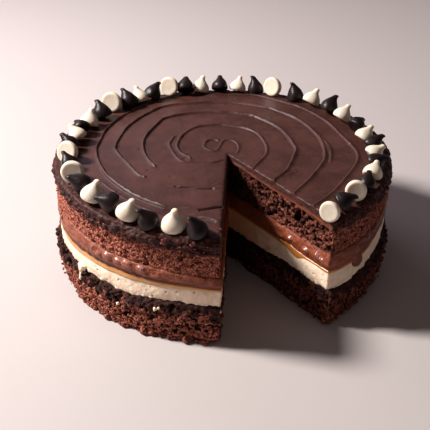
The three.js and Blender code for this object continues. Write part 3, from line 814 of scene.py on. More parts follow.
# %% The filling's finish
def filling_finish():
    """Milk chocolate over a dark band of painted shade, wet in places and warmer where it is sliced."""
    recipe = Recipe("poured chocolate filling")
    stripe = recipe.mesh_value("stripe")
    swirl = recipe.step(recipe.grain(2.6, 3.0, (0.5, 0.5, 1.6)), 0.35, 0.7)
    milk = recipe.mix(swirl, (0.185, 0.048, 0.025), (0.33, 0.098, 0.056))
    warmed = recipe.mix(recipe.mesh_value("sliced") * 0.75, milk, (0.215, 0.046, 0.017))
    # painted shade: the dark purple-brown band under the swell, and on the shaded outside on the right
    colour = recipe.mix(stripe * 0.92, warmed, (0.072, 0.017, 0.015))
    rough = 0.40 + recipe.grain(1.4, 2.0) * 0.2
    wet = recipe.mesh_value("wet") * 0.9 + recipe.step(recipe.grain(2.4), 0.55, 0.7) * 0.25
    return recipe.finish(colour, rough, recipe.grain(1.3, 2.0), 0.6, Coat_Weight=wet, Coat_Roughness=0.2,
                         Specular_IOR_Level=0.2)


filling_gloss = filling_finish()
filling = soft_wall(
    "chocolate_filling_swell", filling_foot, sponge_foot, 20, 99.8, 1.1, filling_relief, filling_gloss,
    "filling", {"stripe": filling_shade_share, "wet": filling_wet, "sliced": filling_sliced})
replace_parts(filling, "chocolate_filling")

# %% [markdown]
# On the right one run of the filling hangs down over the cream, and on the left a smear of cream was dragged
# down over the sponge. Each is a flat tube: its front bulges out of the wall, its back lies inside it.

# %% The hanging run and the smear
RUN_COLUMNS, RUN_ROWS = 45, 50
RUN_LAP = 0.8  # mm that a run's edges dip into the wall at either side
RUN_BACK = 1.6  # mm behind the wall


def hanging_run(name, centre, top, bottom, half_width, thickness, radius, uneven, material, slot, values):
    """A run with a round lower end, half_width mm to each side of its mark, that widens to its root."""
    across = np.linspace(-1, 1, RUN_COLUMNS)
    rounded = bottom + half_width
    rows = []
    for height in np.linspace(bottom - 0.3, top, RUN_ROWS):
        wide = half_width * (1 + 0.8 * smoothstep(height, top - 7, top) ** 2)
        offset = across * (wide + RUN_LAP)
        beside = np.abs(offset) / wide
        gap = np.where(height > rounded, beside, np.hypot(offset, height - rounded) / half_width)
        heavy = 1.25 - 0.4 * smoothstep(height, rounded, rounded + 4)
        turned = np.radians(centre - VIEW_TURN + np.degrees(offset / radius))
        way = np.column_stack([np.sin(turned), -np.cos(turned)])
        bulge = thickness * heavy * dome(gap) - 0.6
        place = np.column_stack([way * radius, np.full(RUN_COLUMNS, height)])
        front = way * (radius + bulge + uneven * lumps(place, 2.2, 110) * (gap < 1))[:, None]
        back = way[::-1] * (radius - RUN_BACK)
        rows.append(np.column_stack([np.vstack([front, back]), np.full(2 * RUN_COLUMNS, height)]))
    tube = np.array(rows)
    points = np.vstack([tube.reshape(-1, 3), tube[0].mean(axis=0), tube[-1].mean(axis=0)])
    even = {key: np.full(len(points), value) for key, value in values.items()}
    return make_piece(name, points, closed_faces(*tube.shape[:2]), material, slot, even)


# the run carries some of the filling's painted shade, as it hangs on the shaded right
hanging_run("filling_run", 49.6, 43.5, 29.4, 4.7, 3.0, 99.0, 0.25, filling_gloss, "filling",
            {"stripe": 0.45, "wet": 0.3, "sliced": 0.6})
hanging_run("cream_smear", 307.2, 27.0, 17.0, 1.5, 2.0, 101.6, 0.9, cream.data.materials[0], "cream", {})

# %% [markdown]
# ## The lines in the frosting
# A spatula drawn round the turning cake leaves a spiral of thin raised lines, with knots where it paused,
# a torn patch near the middle, and a smooth part in front where it was wiped away. Each line below was
# followed in the photograph, in picture positions, and is carried from there on to the top: a sight line
# from the camera is met with the surface. The lamp is on the left, so a line's steep inner side is black on
# the left of the cake and bright on the right, as in the photograph.

# %% Carry picture positions on to the top
CAKE_TOP = 70.9
SHOULDER_START, SHOULDER_DROP = 88.0, 1.4  # where the top begins to fall to the rim, and by how much
SAG_START, FRONT_SAG = 0.2 * CAKE_RADIUS, 2.2  # the same for its low front
FORWARD = from_camera_side(0)
SWIRL_CENTRE = np.array([-0.6, 3.3])


def smooth_top(x, y):
    """Height of the frosting without its lines: level in the middle, lower in front and at the rim."""
    beyond = np.clip((np.hypot(x, y) - SHOULDER_START) / (CAKE_RADIUS - SHOULDER_START), 0, 1)
    forward = x * FORWARD[0] + y * FORWARD[1]
    sag = FRONT_SAG * smoothstep(forward, SAG_START, CAKE_RADIUS)
    return CAKE_TOP - SHOULDER_DROP * beyond ** 2 - sag


def on_top(across, down):
    """The place on the top that is seen at a position of the picture."""
    sight = ahead * FOCAL + RIGHTWARD * (across - PICTURE / 2) - UPWARD * (down - PICTURE / 2)
    height = CAKE_TOP
    for _ in range(4):
        place = EYE + sight * (height - EYE[2]) / sight[2]
        height = smooth_top(place[0], place[1])
    return place[:2]


PACE = 0.7  # mm from one point of a line to the next


def drawn_line(stops, pace=PACE):
    """A smooth line through a few places, as points pace mm apart."""
    stops = np.array(stops)
    padded = np.vstack([2 * stops[0] - stops[1], stops, 2 * stops[-1] - stops[-2]])
    points = []
    for before, start, end, after in zip(padded, padded[1:], padded[2:], padded[3:]):
        count = max(2, int(np.linalg.norm(end - start) / pace))
        t = (np.arange(count) / count)[:, None]
        square = 2 * before - 5 * start + 4 * end - after
        cube = 3 * start - before - 3 * end + after
        points.append(0.5 * (2 * start + (end - before) * t + square * t ** 2 + cube * t ** 3))
    return np.vstack([*points, stops[-1:]])


def to_line(place, line):
    """Distance of each place from a drawn line (mm), and the number of the line's nearest point."""
    closest = np.linalg.norm(place[:, None] - line[None], axis=-1).argmin(axis=1)
    along = np.gradient(line, axis=0)
    along = (along / np.linalg.norm(along, axis=-1, keepdims=True))[closest]
    offset = place - line[closest]
    slid = np.clip((offset * along).sum(axis=-1, keepdims=True), -PACE / 2, PACE / 2)
    return np.linalg.norm(offset - slid * along, axis=-1), closest


print("the middle of the picture lies at", np.round(on_top(PICTURE / 2, PICTURE / 2), 1), "mm on the top")

# %% The lines, as they run in the photograph
# height of the lip (mm), and the picture positions that the line passes
SPATULA_LINES = [
    (1.5, [(176, 96), (165, 99), (142, 106.5), (123.5, 116), (107, 129.5), (101, 140), (98, 145.5),
           (96.5, 150.5), (98.5, 160.5), (105.5, 173), (119.5, 185), (137, 195.5), (159.5, 204.3),
           (170, 207.2)]),
    (0.9, [(95.5, 152), (97, 160), (104.5, 175), (118.5, 187.3), (137, 198.3), (159.5, 207), (170, 209.8)]),
    (0.9, [(100.5, 180.8), (107.5, 186.8), (116.5, 193), (126, 199), (140.5, 206.8), (157, 213),
           (163, 213.7)]),
    (1.5, [(146.5, 179.5), (144, 177), (138.5, 175), (129.5, 166), (117.5, 152.8), (115.5, 148.3),
           (118.5, 140.5), (128, 127.4), (145.3, 115.3), (168, 106.2), (199, 103.3), (217, 102.8),
           (238, 103.8), (264, 107.6), (274, 110), (299.5, 121), (317, 136), (322.5, 145.3), (324.5, 153),
           (323, 162), (310, 178.5), (296, 191), (284, 201)]),
    (1.6, [(157, 168.6), (148.5, 160), (143.7, 149.5), (145.3, 138), (158, 124), (167, 118.2),
           (193.5, 113.6), (223, 113), (241, 114.6), (255, 117.2), (279, 128.7), (293, 145), (295, 153),
           (287, 169.5), (276.5, 178.4), (265, 188)]),
    (1.3, [(192.5, 161), (189, 157), (181.3, 153), (177.4, 146), (182, 136.6), (190, 130.3), (199, 127),
           (213, 125.5), (223, 125.5), (242, 128), (255, 132.5), (262.5, 140), (266.3, 148), (265, 155.5),
           (255, 165.7), (244, 176)]),
    (1.1, [(176.3, 135), (171, 142), (170, 146), (174.4, 154), (178, 158.6), (183, 162), (195, 161.7),
           (213.5, 162.4), (225.5, 158.2)]),
    (0.95, [(220, 144), (218, 140.8), (213, 139.8), (207.5, 141), (204.4, 145.2), (206, 148.5),
            (211.7, 151), (217, 150.4), (219.8, 147), (221, 143.5), (225, 140.4), (232, 140.6), (237, 144),
            (238.3, 149), (235.5, 154.5)]),
    (1.2, [(225, 95), (243, 95), (257, 95.7), (279, 101.3), (302, 108.3), (325, 121), (343, 137.6),
           (355, 150.4), (357.5, 158), (355, 165.7), (344, 179.7), (329, 195), (313.5, 205.2), (299, 214)]),
    (1.1, [(313.5, 130), (320, 137.6), (326.3, 144), (330, 150.4), (330.3, 159.3), (328.5, 163.5)]),
    (0.9, [(321, 141), (326, 146.5), (329.5, 154)]),
    (1.0, [(296, 171), (289, 174), (281.5, 176)]),
    (0.8, [(164, 184.6), (173.5, 186.6), (183, 186), (190, 186.8), (197, 188.1), (224, 188.1)]),
    (0.9, [(178.5, 207), (187.4, 208), (200.4, 208.5), (213.4, 206.8), (224, 205.3)]),
    (0.9, [(196, 216.3), (204, 217.2), (213.5, 219), (220.5, 222.6)]),
    (0.6, [(200, 219.5), (208, 221.6), (216.5, 223.5)]),
    (0.6, [(210.8, 185), (217, 183.4), (223, 180.8)]),
]
KNOTS = [(107, 129.5), (101.5, 138), (117.3, 146.5), (143.3, 143), (144.5, 177), (252.5, 117), (349.5, 144),
         (320, 137.5), (186, 154.5), (181, 158.5), (190, 160.5)]
PITS = [(298.3, 155.7), (233.8, 99.6), (135, 114.8), (147.6, 170.4), (171.7, 177.3), (140.5, 149.3),
        (181.5, 156.5), (184.5, 159)]
# cracks that the spatula tore open in front
CRACKS = [[(176, 186.8), (183, 187.2), (191, 187.9), (198, 188.8), (212, 188.8)],
          [(200.4, 210.2), (213, 208.6), (224, 207)], [(198, 218.3), (207, 219.8), (214, 221.6)]]

lines = [(rise, drawn_line([on_top(*stop) for stop in stops])) for rise, stops in SPATULA_LINES]
cracks = [drawn_line([on_top(*stop) for stop in stops]) for stops in CRACKS]
knots = np.array([on_top(*stop) for stop in KNOTS])
pits = np.array([on_top(*stop) for stop in PITS])
print(len(lines), "lines,", round(sum(len(line) for _, line in lines) * PACE), "mm in all")

# %% [markdown]
# The top is then a height at every place: the smooth top, plus the nearest line's lip, plus knots, less
# pits, plus the faint radial drag marks between the outer line and the drops on the left.

# %% How the lines stand up from the top
STEEP_SIDE, OUTER_SIDE, TERRACE = 0.75, 1.5, 9.0  # mm on either side of a lip, and down to level again
BLOCK = 4000  # places that are set against a line at once


def near_line(place, line):
    """Numbers of the places that a line's terrace may reach."""
    return np.where((place > line.min(0) - TERRACE).all(-1) & (place < line.max(0) + TERRACE).all(-1))[0]


def line_relief(place):
    """Height added by the spatula's lines, and distance to the nearest of them (mm). A line is a lip with a
    steep side towards the middle of the swirl, and the frosting falls away slowly outside it."""
    relief = np.zeros(len(place))
    nearest = np.full(len(place), TERRACE)
    inwards = np.linalg.norm(place - SWIRL_CENTRE, axis=-1)
    for rise, line in lines:
        near = near_line(place, line)
        for block in np.array_split(near, len(near) // BLOCK + 1):
            if not len(block):
                continue
            distance, closest = to_line(place[block], line)
            inside = inwards[block] < np.linalg.norm(line[closest] - SWIRL_CENTRE, axis=-1)
            broad = 1.05 + 0.65 * smoothstep(line[closest] @ from_camera_side(90), 10, 50)
            lip = (1 - np.clip(distance / (np.where(inside, STEEP_SIDE, OUTER_SIDE) * broad), 0, 1)) ** 1.3
            slope = np.where(inside, 0, (1 - np.clip(distance / TERRACE, 0, 1)) ** 2)
            uneven = 0.85 + 0.22 * lumps(np.column_stack([line[closest], closest * 0.0]), 5, 80)
            ends = smoothstep(np.minimum(closest, len(line) - 1 - closest), 0, 7)
            raised = 1.12 * rise * uneven * ends * (0.74 * lip + 0.26 * slope)
            relief[block] = np.maximum(relief[block], raised)
            nearest[block] = np.minimum(nearest[block], distance)
    return relief, nearest


def crack_gap(place):
    """Distance from the nearest of the cracks (mm), as far as it is within the terrace of a line."""
    nearest = np.full(len(place), TERRACE)
    for crack in cracks:
        near = near_line(place, crack)
        if len(near):
            nearest[near] = np.minimum(nearest[near], to_line(place[near], crack)[0])
    return nearest


sample = np.array([on_top(323, 153), on_top(250, 190)])
print("line and open top stand", np.round(line_relief(sample)[0], 2), "mm proud")

# %% Height of the frosting anywhere on the top
KNOT, PIT, CRACK = (0.55, 1.5), (0.9, 1.1), (1.2, 1.1)  # height or depth, and half-width (mm)


def to_cut(place):
    """Distance from the nearer of the two cuts (mm)."""
    spoke = place - TIP
    length = np.linalg.norm(spoke, axis=-1)
    angle = np.degrees(np.arctan2(spoke[:, 0], -spoke[:, 1])) % 360
    clear = np.clip(np.minimum(angle - FIRST_RAY, LAST_RAY - angle), 0, 90)
    return length * np.sin(np.radians(clear))


def frosting_height(place):
    """Height of the frosting at each place, with all that the spatula left on it."""
    flat = np.column_stack([place, np.zeros(len(place))])
    relief = line_relief(place)[0]
    for middle in knots:
        relief = relief + KNOT[0] * hill(np.linalg.norm(place - middle, axis=-1), KNOT[1])
    for middle in pits:
        relief = relief - PIT[0] * hill(np.linalg.norm(place - middle, axis=-1), PIT[1])
    relief = relief - CRACK[0] * hill(crack_gap(place), CRACK[1])
    away = np.linalg.norm(place, axis=-1)
    around = (np.degrees(np.arctan2(place[:, 0], -place[:, 1])) + VIEW_TURN) % 360
    drag_marks = lumps(np.column_stack([around, away / 14, np.zeros(len(place))]), 2.1, 81)
    band = hill(away - 88, 9) * hill(around - 268, 52)
    uneven = 0.12 * lumps(flat, 22, 82) + 0.05 * lumps(flat, 6, 83)
    rim = smoothstep(away, 92.5, 98) * (0.6 * lumps(flat, 3.4, 84) + 0.4 * lumps(flat, 1.7, 86))
    dragged = (0.42 + 0.13 * lumps(flat, 3.4, 85)) * (1 - smoothstep(to_cut(place), 0, 1.2))
    return smooth_top(place[:, 0], place[:, 1]) + relief + 0.45 * drag_marks * band + uneven + rim - dragged


print("line and open top at", np.round(frosting_height(sample), 2), "mm")

# %% [markdown]
# The rim is where the frosting was pushed over the edge. It is thick, dark and broken into flakes like bark,
# and ends in ragged flaps over the sponge. It is a wall like the others, whose rows go up from the flaps
# and in over the shoulder.

# %% The rim, from its ragged flaps in over the shoulder
RIM_ROWS = 25
TOP_EDGE = 98.6
# share of the way from flap to top, radius, and share of the height there
RIM_OUTLINE = [(0, 100.3, 0.03), (0.06, 101.2, 0), (0.2, 101.9, 0.16), (0.55, 102.2, 0.55),
               (0.78, 101.6, 0.82), (0.92, 100.3, 0.97), (1, TOP_EDGE, 1)]


def bark(place):
    """Flakes and creases of the rim: long round the cake, short up and down."""
    stretched = place * np.array([0.42, 0.42, 1.0])
    creases = 1 - np.abs(lumps(stretched, 2.0, 90)) * 2.2
    folds = 1 - np.abs(lumps(stretched, 3.4, 89)) * 3.0
    flakes = np.abs(lumps(place * np.array([0.6, 0.6, 1.0]), 3.4, 91))
    crumbs = np.clip(lumps(place, 1.6, 92), 0, 1)
    grains = dome(bubbles(place, 1.9, 96) / 0.76)
    cut_in = 1.0 * np.clip(creases, 0, 1) + 1.3 * np.clip(folds, 0, 1)
    return 1.5 * flakes - cut_in + 0.45 * crumbs + 0.45 * grains + 0.6 * lumps(place, 7, 93) - 0.35


edge_path = path_round(TOP_EDGE)
edge_height = frosting_height(edge_path)
foot_place = np.column_stack([plain_path, frosting_foot])
ragged = 1.6 * np.abs(lumps(foot_place, 3.2, 94)) + 0.9 * np.abs(lumps(foot_place, 1.5, 97))
flap = frosting_foot - ragged * side_share
rise_share = np.linspace(0, 1, RIM_ROWS)[:, None]
shares, radii, rises = zip(*RIM_OUTLINE)
rim_heights = flap + (edge_height - flap) * np.interp(rise_share, shares, rises)
rim_place = wall_places(np.interp(rise_share[:, 0], shares, radii), rim_heights)
roughness_of_rim = hill(2 * rise_share - 0.85, 1.25) * side_share
spread = hill(2 * rise_share - 1, 1.0) * (0.25 + 0.3 * lumps(rim_place * np.array([0.4, 0.4, 1]), 2.5, 95))
smooth_cut = (1 - side_share) * (spread + 0.5 * (1 - smoothstep(rise_share, 0.25, 0.5)))
rim_push = bark(rim_place) * roughness_of_rim + smooth_cut * calm_tip + right_trim * side_share
rim_points = pushed(rim_place, rim_push)
rim_points[-1] = np.column_stack([edge_path, edge_height])
print("the rim hangs down to", round(float(flap.min()), 1), "mm")

# %% [markdown]
# The top inside the rim is a net of triangles. It is fine beside the lines and near the rim, and coarse in
# between, because a fine net all over would be far too heavy.

# %% The net of the top
COARSE_NET, FINE_NET = 1.25, 0.49  # mm between places
ROW_STEP = 0.866  # height of a triangle with equal sides
FINE_BAND, ROUGH_FROM = 1.6, 94.5  # mm from a line, and from the axis, where the net is fine
MARGIN = 0.45  # mm that stay free inside the edge


def net(pitch, low, high):
    """Even triangular net of places between two corners."""
    x, y = np.meshgrid(np.arange(low[0], high[0], pitch), np.arange(low[1], high[1], pitch * ROW_STEP))
    return np.column_stack([(x + (np.arange(len(x)) % 2)[:, None] * pitch / 2).ravel(), y.ravel()])


def inside_edge(place):
    """Whether each place is clear of the cuts and of the rim."""
    spoke = place - TIP
    length = np.linalg.norm(spoke, axis=-1)
    return (to_cut(place) > MARGIN) & (length < reach(spoke / length[:, None], TOP_EDGE) - MARGIN)


def needs_fine(place):
    """Whether each place is beside a line or near the rim."""
    return (line_relief(place)[1] < FINE_BAND) | (np.linalg.norm(place, axis=-1) > ROUGH_FROM)


corner = np.array([TOP_EDGE, TOP_EDGE])
coarse, fine = (net(pitch, -corner, corner) for pitch in (COARSE_NET, FINE_NET))
inner_places = np.vstack([coarse[~needs_fine(coarse)], fine[needs_fine(fine)]])
inner_places = inner_places[inside_edge(inner_places)]
flat_net = [Vector(place) for place in np.vstack([edge_path, inner_places])]
filled = delaunay_2d_cdt(flat_net, [], [list(range(len(edge_path)))], 1, 1e-7)
net_places = np.array([tuple(place) for place in filled[0]])
print("net of", len(net_places), "places and", len(filled[2]), "triangles")

# %% Join the rim, the top and the hidden underside
UNDERSIDE = 66.0
columns = len(mark)
rim_flat = rim_points.reshape(-1, 3)
top_start = (RIM_ROWS - 1) * columns
number = {}
top_points = []
net_heights = frosting_height(net_places)
for index, sources in enumerate(filled[3]):
    if sources and sources[0] < columns:
        number[index] = top_start + sources[0]
    else:
        number[index] = len(rim_flat) + len(top_points)
        top_points.append((*net_places[index], net_heights[index]))
frosting_points = np.vstack([rim_flat, top_points, [(*FAN_CENTRE, UNDERSIDE)]])
frosting_faces = wall_faces(RIM_ROWS, columns)
frosting_faces += [[number[corner] for corner in face] for face in filled[2]]
frosting_faces += fan(np.arange(columns), len(frosting_points) - 1, False)
print("frosting has", len(frosting_points), "points")

# %% [markdown]
# Three numbers go with every point: how much it is bark, how much painted shade darkens the groove beside a
# line or a crack, and, on the cuts, how much syrup has soaked through where the frosting meets the sponge.

# %% Values for the frosting's finish
top_places = np.array(top_points)[:, :2]
near_rim = smoothstep(np.linalg.norm(top_places, axis=-1), 93.0, 97.5)
near_cut = 1 - smoothstep(to_cut(top_places), 0.4, 2.4)
over_rim = 0.3 * smoothstep(rise_share, 0.4, 0.7) * side_share
rim_bark = np.maximum(roughness_of_rim, over_rim) + 0.2 * (1 - side_share)
bark_share = np.concatenate([rim_bark.ravel(), 0.3 * np.maximum(near_rim, near_cut), [0]])
# painted shade: a thin dark line beside each spatula line and in each crack
beside_line = 0.75 * hill(line_relief(top_places)[1] - 1.2, 0.7)
groove_shades = np.maximum(beside_line, hill(crack_gap(top_places), 1.2))
groove_shade_share = np.concatenate([np.zeros(len(rim_flat)), groove_shades, [0]])
syrup = (1 - side_share) * hill(rise_share - 0.12, 0.26) * (1.1 + 0.5 * lumps(rim_place, 5.0, 98))
syrup_share = np.concatenate([np.clip(syrup, 0, 1).ravel(), np.zeros(len(top_points) + 1)])
print("share of the skin that is bark", round(float((bark_share > 0.5).mean()), 2))

# %% [markdown]
# The finish of the frosting is satin: dark chocolate with a soft sheen, smoother and browner on the top,
# darker, drier and more purple in the bark of the rim.

# %% Frosting finish
def frosting_finish():
    """Satin on the top and the cuts, dry flakes on the rim, mixed by the share of bark."""
    recipe = Recipe("chocolate frosting")
    fine = recipe.grain(2.2, 4.0)
    mottled = recipe.step(recipe.grain(26.0, 3.0) * 0.4 + recipe.grain(8.0, 3.0) * 0.3 + fine * 0.3, 0.40, 0.60)
    smooth = recipe.mix(mottled, (0.036, 0.0112, 0.0082), (0.068, 0.0230, 0.0175))
    speckled = recipe.mix(recipe.step(recipe.grain(0.8), 0.4, 0.66) * 0.3, smooth, (0.100, 0.038, 0.031))
    # painted shade in the grooves beside the lines and in the cracks
    groove_shaded = recipe.mix(recipe.mesh_value("painted_groove_shade") * 0.7, speckled, (0.022, 0.0050, 0.0038))
    glazed = recipe.mix(recipe.mesh_value("syrup"), groove_shaded, (0.40, 0.105, 0.055))
    relief = recipe.grain(0.6, 4.0) * 0.6 + recipe.grain(3.5, 3.0, (1.0, 0.35, 1.0)) * 0.4
    satin = recipe.surface(glazed, 0.38 + recipe.grain(0.8, 3.0) * 0.14, relief, 0.28, Specular_IOR_Level=0.28)
    flakes = recipe.grain(1.9, 4.0)
    crusty = recipe.mix(recipe.step(flakes, 0.40, 0.68), (0.018, 0.0048, 0.0040), (0.092, 0.0270, 0.0215))
    dry = recipe.surface(crusty, 0.56, flakes, 0.5, Specular_IOR_Level=0.12)
    worn = recipe.step(recipe.mesh_value("bark"), 0.04, 0.4)
    return recipe.end(recipe.node("ShaderNodeMixShader", None, {0: worn, 1: satin, 2: dry}))


frosting = make_piece("frosting_skin", frosting_points, frosting_faces, frosting_finish(), "frosting",
                      {"bark": bark_share, "syrup": syrup_share, "painted_groove_shade": groove_shade_share})
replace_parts(frosting, "frosting")

# %% [markdown]
# ## The drops
# Each drop was squeezed out in one go: a round foot, a shoulder that draws in, and a tip that curled over as
# the nozzle left. The outline is turned round an axis, then its upper half is bent. The drops lie as they
# fell, so the list gives the bearing counted clockwise from the slice, the distance from the axis, how many
# degrees the tip leans, the bearing that it leans towards and the size. White and dark take turns.

# %% How the drops came to rest
DROP_PLACES = [
    (25, 98, 12, 255, 0.95), (33, 94.5, 3, 75, 1.06), (41, 97.5, 18, 255, 0.95), (49, 95.5, 20, 75, 1),
    (57, 96, 55, 250, 0.96), (65.5, 95, 24, 95, 1.04), (73.5, 95.5, 40, 255, 0.98),
    (82, 94, 103, 165, 1.08), (90, 93.5, 20, 210, 0.9), (97.5, 92, 112, 140, 1.06),
    (105.5, 92.5, 26, 225, 0.93), (113, 90.5, 34, 215, 0.96), (120.5, 91.5, 58, 195, 0.96),
    (128, 90.5, 25, 135, 0.98), (137.5, 91, 22, 205, 0.98), (147, 95, 100, 150, 1.06),
    (153.5, 91.5, 20, 215, 1.0), (160, 93.5, 16, 213, 0.96), (165.9, 91.5, 30, 112, 0.98),
    (175, 97, 98, 145, 1.04), (181, 94, 35, 165, 1.04), (187.6, 95.5, 15, 115, 0.96),
    (195.5, 96, 25, 165, 0.95), (203, 96, 20, 130, 0.9), (210, 97, 5, 225, 0.95), (218, 96, 98, 125, 1.04),
    (228, 93.5, 8, 245, 0.98), (237, 92, 28, 105, 0.95), (247.5, 90, 28, 110, 0.98),
    (257.5, 88, 34, 105, 0.95), (268.5, 88.5, 62, 120, 0.95), (279.5, 87.5, 38, 105, 0.94),
    (287, 90.5, 40, 95, 0.92), (296, 90.5, 50, 95, 0.92), (303, 92, 56, 80, 0.93),
    (310.5, 93, 48, 140, 0.92), (318.5, 94, 40, 150, 0.88), (325.5, 93, 102, 160, 0.97),
    (334, 96, 60, 90, 0.93), (341, 97.5, 103, 135, 0.92),
]
# drops that turned out lower than the rest, and by what share
DOMED = {"dark_drop_07": 0.8, "dark_drop_11": 0.85, "dark_drop_12": 0.88, "dark_drop_16": 0.85}
print(len(DROP_PLACES), "drops")

# %% One drop
ROUND_COLUMNS = 36
NEXT_DROP = 31.7  # mm through the lumps, so that no drop is like the one before
# share of the foot's radius, and share of the height
SAME_FOOT = [(0.0, 0.01), (0.45, 0.01), (0.8, 0.0)]
WHITE_OUTLINE = SAME_FOOT + [
    (0.94, 0.03), (1.0, 0.12), (1.0, 0.21), (0.93, 0.33), (0.79, 0.45), (0.61, 0.56), (0.44, 0.66),
    (0.33, 0.75), (0.28, 0.83), (0.26, 0.91), (0.18, 0.97), (0, 1.0)]
DARK_OUTLINE = SAME_FOOT + [
    (0.95, 0.03), (1.0, 0.12), (1.0, 0.22), (0.94, 0.34), (0.83, 0.45), (0.66, 0.56), (0.50, 0.66),
    (0.38, 0.75), (0.31, 0.83), (0.28, 0.91), (0.20, 0.97), (0, 1.0)]


def turned_drop(outline, radius, height, curl, uneven, seed):
    """A drop that stands at the origin with its tip curled towards +X, as points and faces."""
    profile = drawn_line([(share * radius, rise * height) for share, rise in outline], 0.42)
    profile[0, 0] = profile[-1, 0] = 0.0
    rings = profile[1:-1]
    angle = np.arange(ROUND_COLUMNS) * 2 * np.pi / ROUND_COLUMNS
    across = np.maximum(rings[:, :1], 0.05)
    body = np.stack([across * np.cos(angle), across * np.sin(angle), rings[:, 1:] + 0 * angle], axis=-1)
    points = np.vstack([body.reshape(-1, 3), [(0, 0, profile[0, 1])], [(0, 0, profile[-1, 1])]])
    piped = 0.035 * np.sin(points[:, 2:] * 2 * np.pi / 1.15) * smoothstep(points[:, 2:], 0.5, 2.0)
    flat = points * np.array([1, 1, 0])
    points = points + flat / np.maximum(np.linalg.norm(flat, axis=-1, keepdims=True), 0.5) * piped
    points = points + uneven * lumps(points + seed * NEXT_DROP, 4.0, 100)[:, None] * np.array([1, 1, 0.3])
    bend = np.clip(2 * points[:, 2] / height - 1, 0, 1)
    points[:, 0] += curl * bend ** 2
    points[:, 2] -= 0.25 * curl * bend ** 3
    return points, closed_faces(len(rings), ROUND_COLUMNS)


print("a drop has", len(turned_drop(WHITE_OUTLINE, 6.25, 11.8, 1.0, 0.2, 1)[0]), "points")

# %% All the drops of one kind
DROP_MIDDLE = 0.33  # share of its height about which a drop is tipped over
SINK = 0.7  # mm that it sank into the frosting, counted from its solid
FOOT = 6  # mm on either side of its place where the slope is taken


def settle_drop(points, height, node, clockwise, radius, lean, toward, size):
    """Tips a drop over and sets it where its solid lies."""
    out = np.array([math.sin(math.radians(-clockwise)), -math.cos(math.radians(-clockwise))])
    near, far = (smooth_top(*(out * distance)) for distance in (radius - FOOT, radius + FOOT))
    slope = math.degrees(math.atan2(near - far, 2 * FOOT))
    placed = (points - np.array([0, 0, DROP_MIDDLE * height])) * size
    for axis, degrees in (("Y", lean), ("Z", toward + clockwise), ("Y", slope), ("Z", -clockwise - 90)):
        placed = placed @ np.array(Matrix.Rotation(math.radians(degrees), 3, axis)).T
    placed[:, :2] += out * radius
    placed[:, 2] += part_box(node)[0].z / MM - SINK - placed[:, 2].min()
    return placed


def drops(name, kind, outline, radius, height, curl, uneven, places, material, slot):
    """All the drops of one chocolate as one piece."""
    nodes = [f"{kind}_{order:02d}" for order in range(1, len(places) + 1)]
    settled = []
    for order, (node, place) in enumerate(zip(nodes, places), 1):
        tall, curled = (value * DOMED.get(node, 1.0) for value in (height, curl))
        points, faces = turned_drop(outline, radius, tall, curled, uneven, order)
        settled.append((settle_drop(points, tall, node, *place), faces))
    piece = make_piece(name, *gather(settled), material, slot)
    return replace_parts(piece, *nodes)


print("drops sink by", SINK, "mm")

# %% [markdown]
# White chocolate lets light in a little, which turns its shaded side golden. Dark chocolate does not, and
# shows one soft highlight from the lamp.

# %% The two chocolates
def white_finish():
    """Ivory that lets a little light in."""
    recipe = Recipe("white chocolate")
    tint = recipe.mix(recipe.grain(3.0), (0.735, 0.615, 0.48), (0.77, 0.685, 0.58))
    rough = 0.42 + recipe.grain(1.0) * 0.1
    return recipe.finish(tint, rough, recipe.grain(1.3, 3.0), 0.08, Subsurface_Weight=0.4,
                         Subsurface_Radius=(1.0, 0.58, 0.2), Subsurface_Scale=0.0028, Specular_IOR_Level=0.35)


def dark_finish():
    """Nearly black, with a soft sheen."""
    recipe = Recipe("dark chocolate")
    tint = recipe.mix(recipe.grain(2.0, 3.0), (0.008, 0.0042, 0.0040), (0.017, 0.0088, 0.0084))
    rough = 0.30 + recipe.grain(0.9) * 0.14
    return recipe.finish(tint, rough, recipe.grain(1.0, 3.0), 0.14, Specular_IOR_Level=0.22)


drops("white_drops", "white_drop", WHITE_OUTLINE, 6.25, 11.8, 1.0, 0.2, DROP_PLACES[1::2], white_finish(),
      "white_chocolate")
drops("dark_drops", "dark_drop", DARK_OUTLINE, 5.8, 13.1, 2.7, 0.45, DROP_PLACES[0::2], dark_finish(),
      "dark_chocolate")

# %% [markdown]
# ## Loose crumbs
# A torn sponge sheds grains, which cling to its face and lie along its foot, and break up its outline. One
# ball is made once, then copied, resized and dented for every crumb, all in one mesh for each sponge.

# %% One crumb, and where crumbs lie
NEXT_CRUMB = 13.7  # through the lumps, so that no crumb is like the one before


def ball():
    """Points and faces of a small ball of triangles."""
    shape = bmesh.new()
    bmesh.ops.create_icosphere(shape, subdivisions=2, radius=1.0)
    points = np.array([tuple(point.co) for point in shape.verts])
    faces = [[point.index for point in face.verts] for face in shape.faces]
    shape.free()
    return points, faces


def along_wall(count, marks, heights, sizes, radius, seed):
    """Scattered crumbs on a stretch of the walk: rows of x, y, z and half-width (mm)."""
    order = np.arange(count)
    draw = [chance(np.column_stack([order, 0 * order, 0 * order]), seed + turn) for turn in range(4)]
    column = np.searchsorted(mark, marks[0] + (marks[1] - marks[0]) * draw[0]).clip(0, len(mark) - 1)
    path = path_round(radius)
    off = (0.7 * draw[3] - 0.25 + right_trim[0, column])[:, None]
    place = path[column] + outward(path)[column] * off
    height = heights[0] + (heights[1] - heights[0]) * draw[1]
    size = sizes[0] + (sizes[1] - sizes[0]) * draw[2] ** 2
    return np.column_stack([place, height, size])


def at_marks(stops, radius):
    """Crumbs at places that were read off the photograph: mark, height and half-width (mm) of each."""
    path = path_round(radius)
    columns = [int(np.abs(from_mark(centre)).argmin()) for centre, _, _ in stops]
    return np.array([(*path[column], height, size) for column, (_, height, size) in zip(columns, stops)])


print("a crumb has", len(ball()[1]), "triangles")

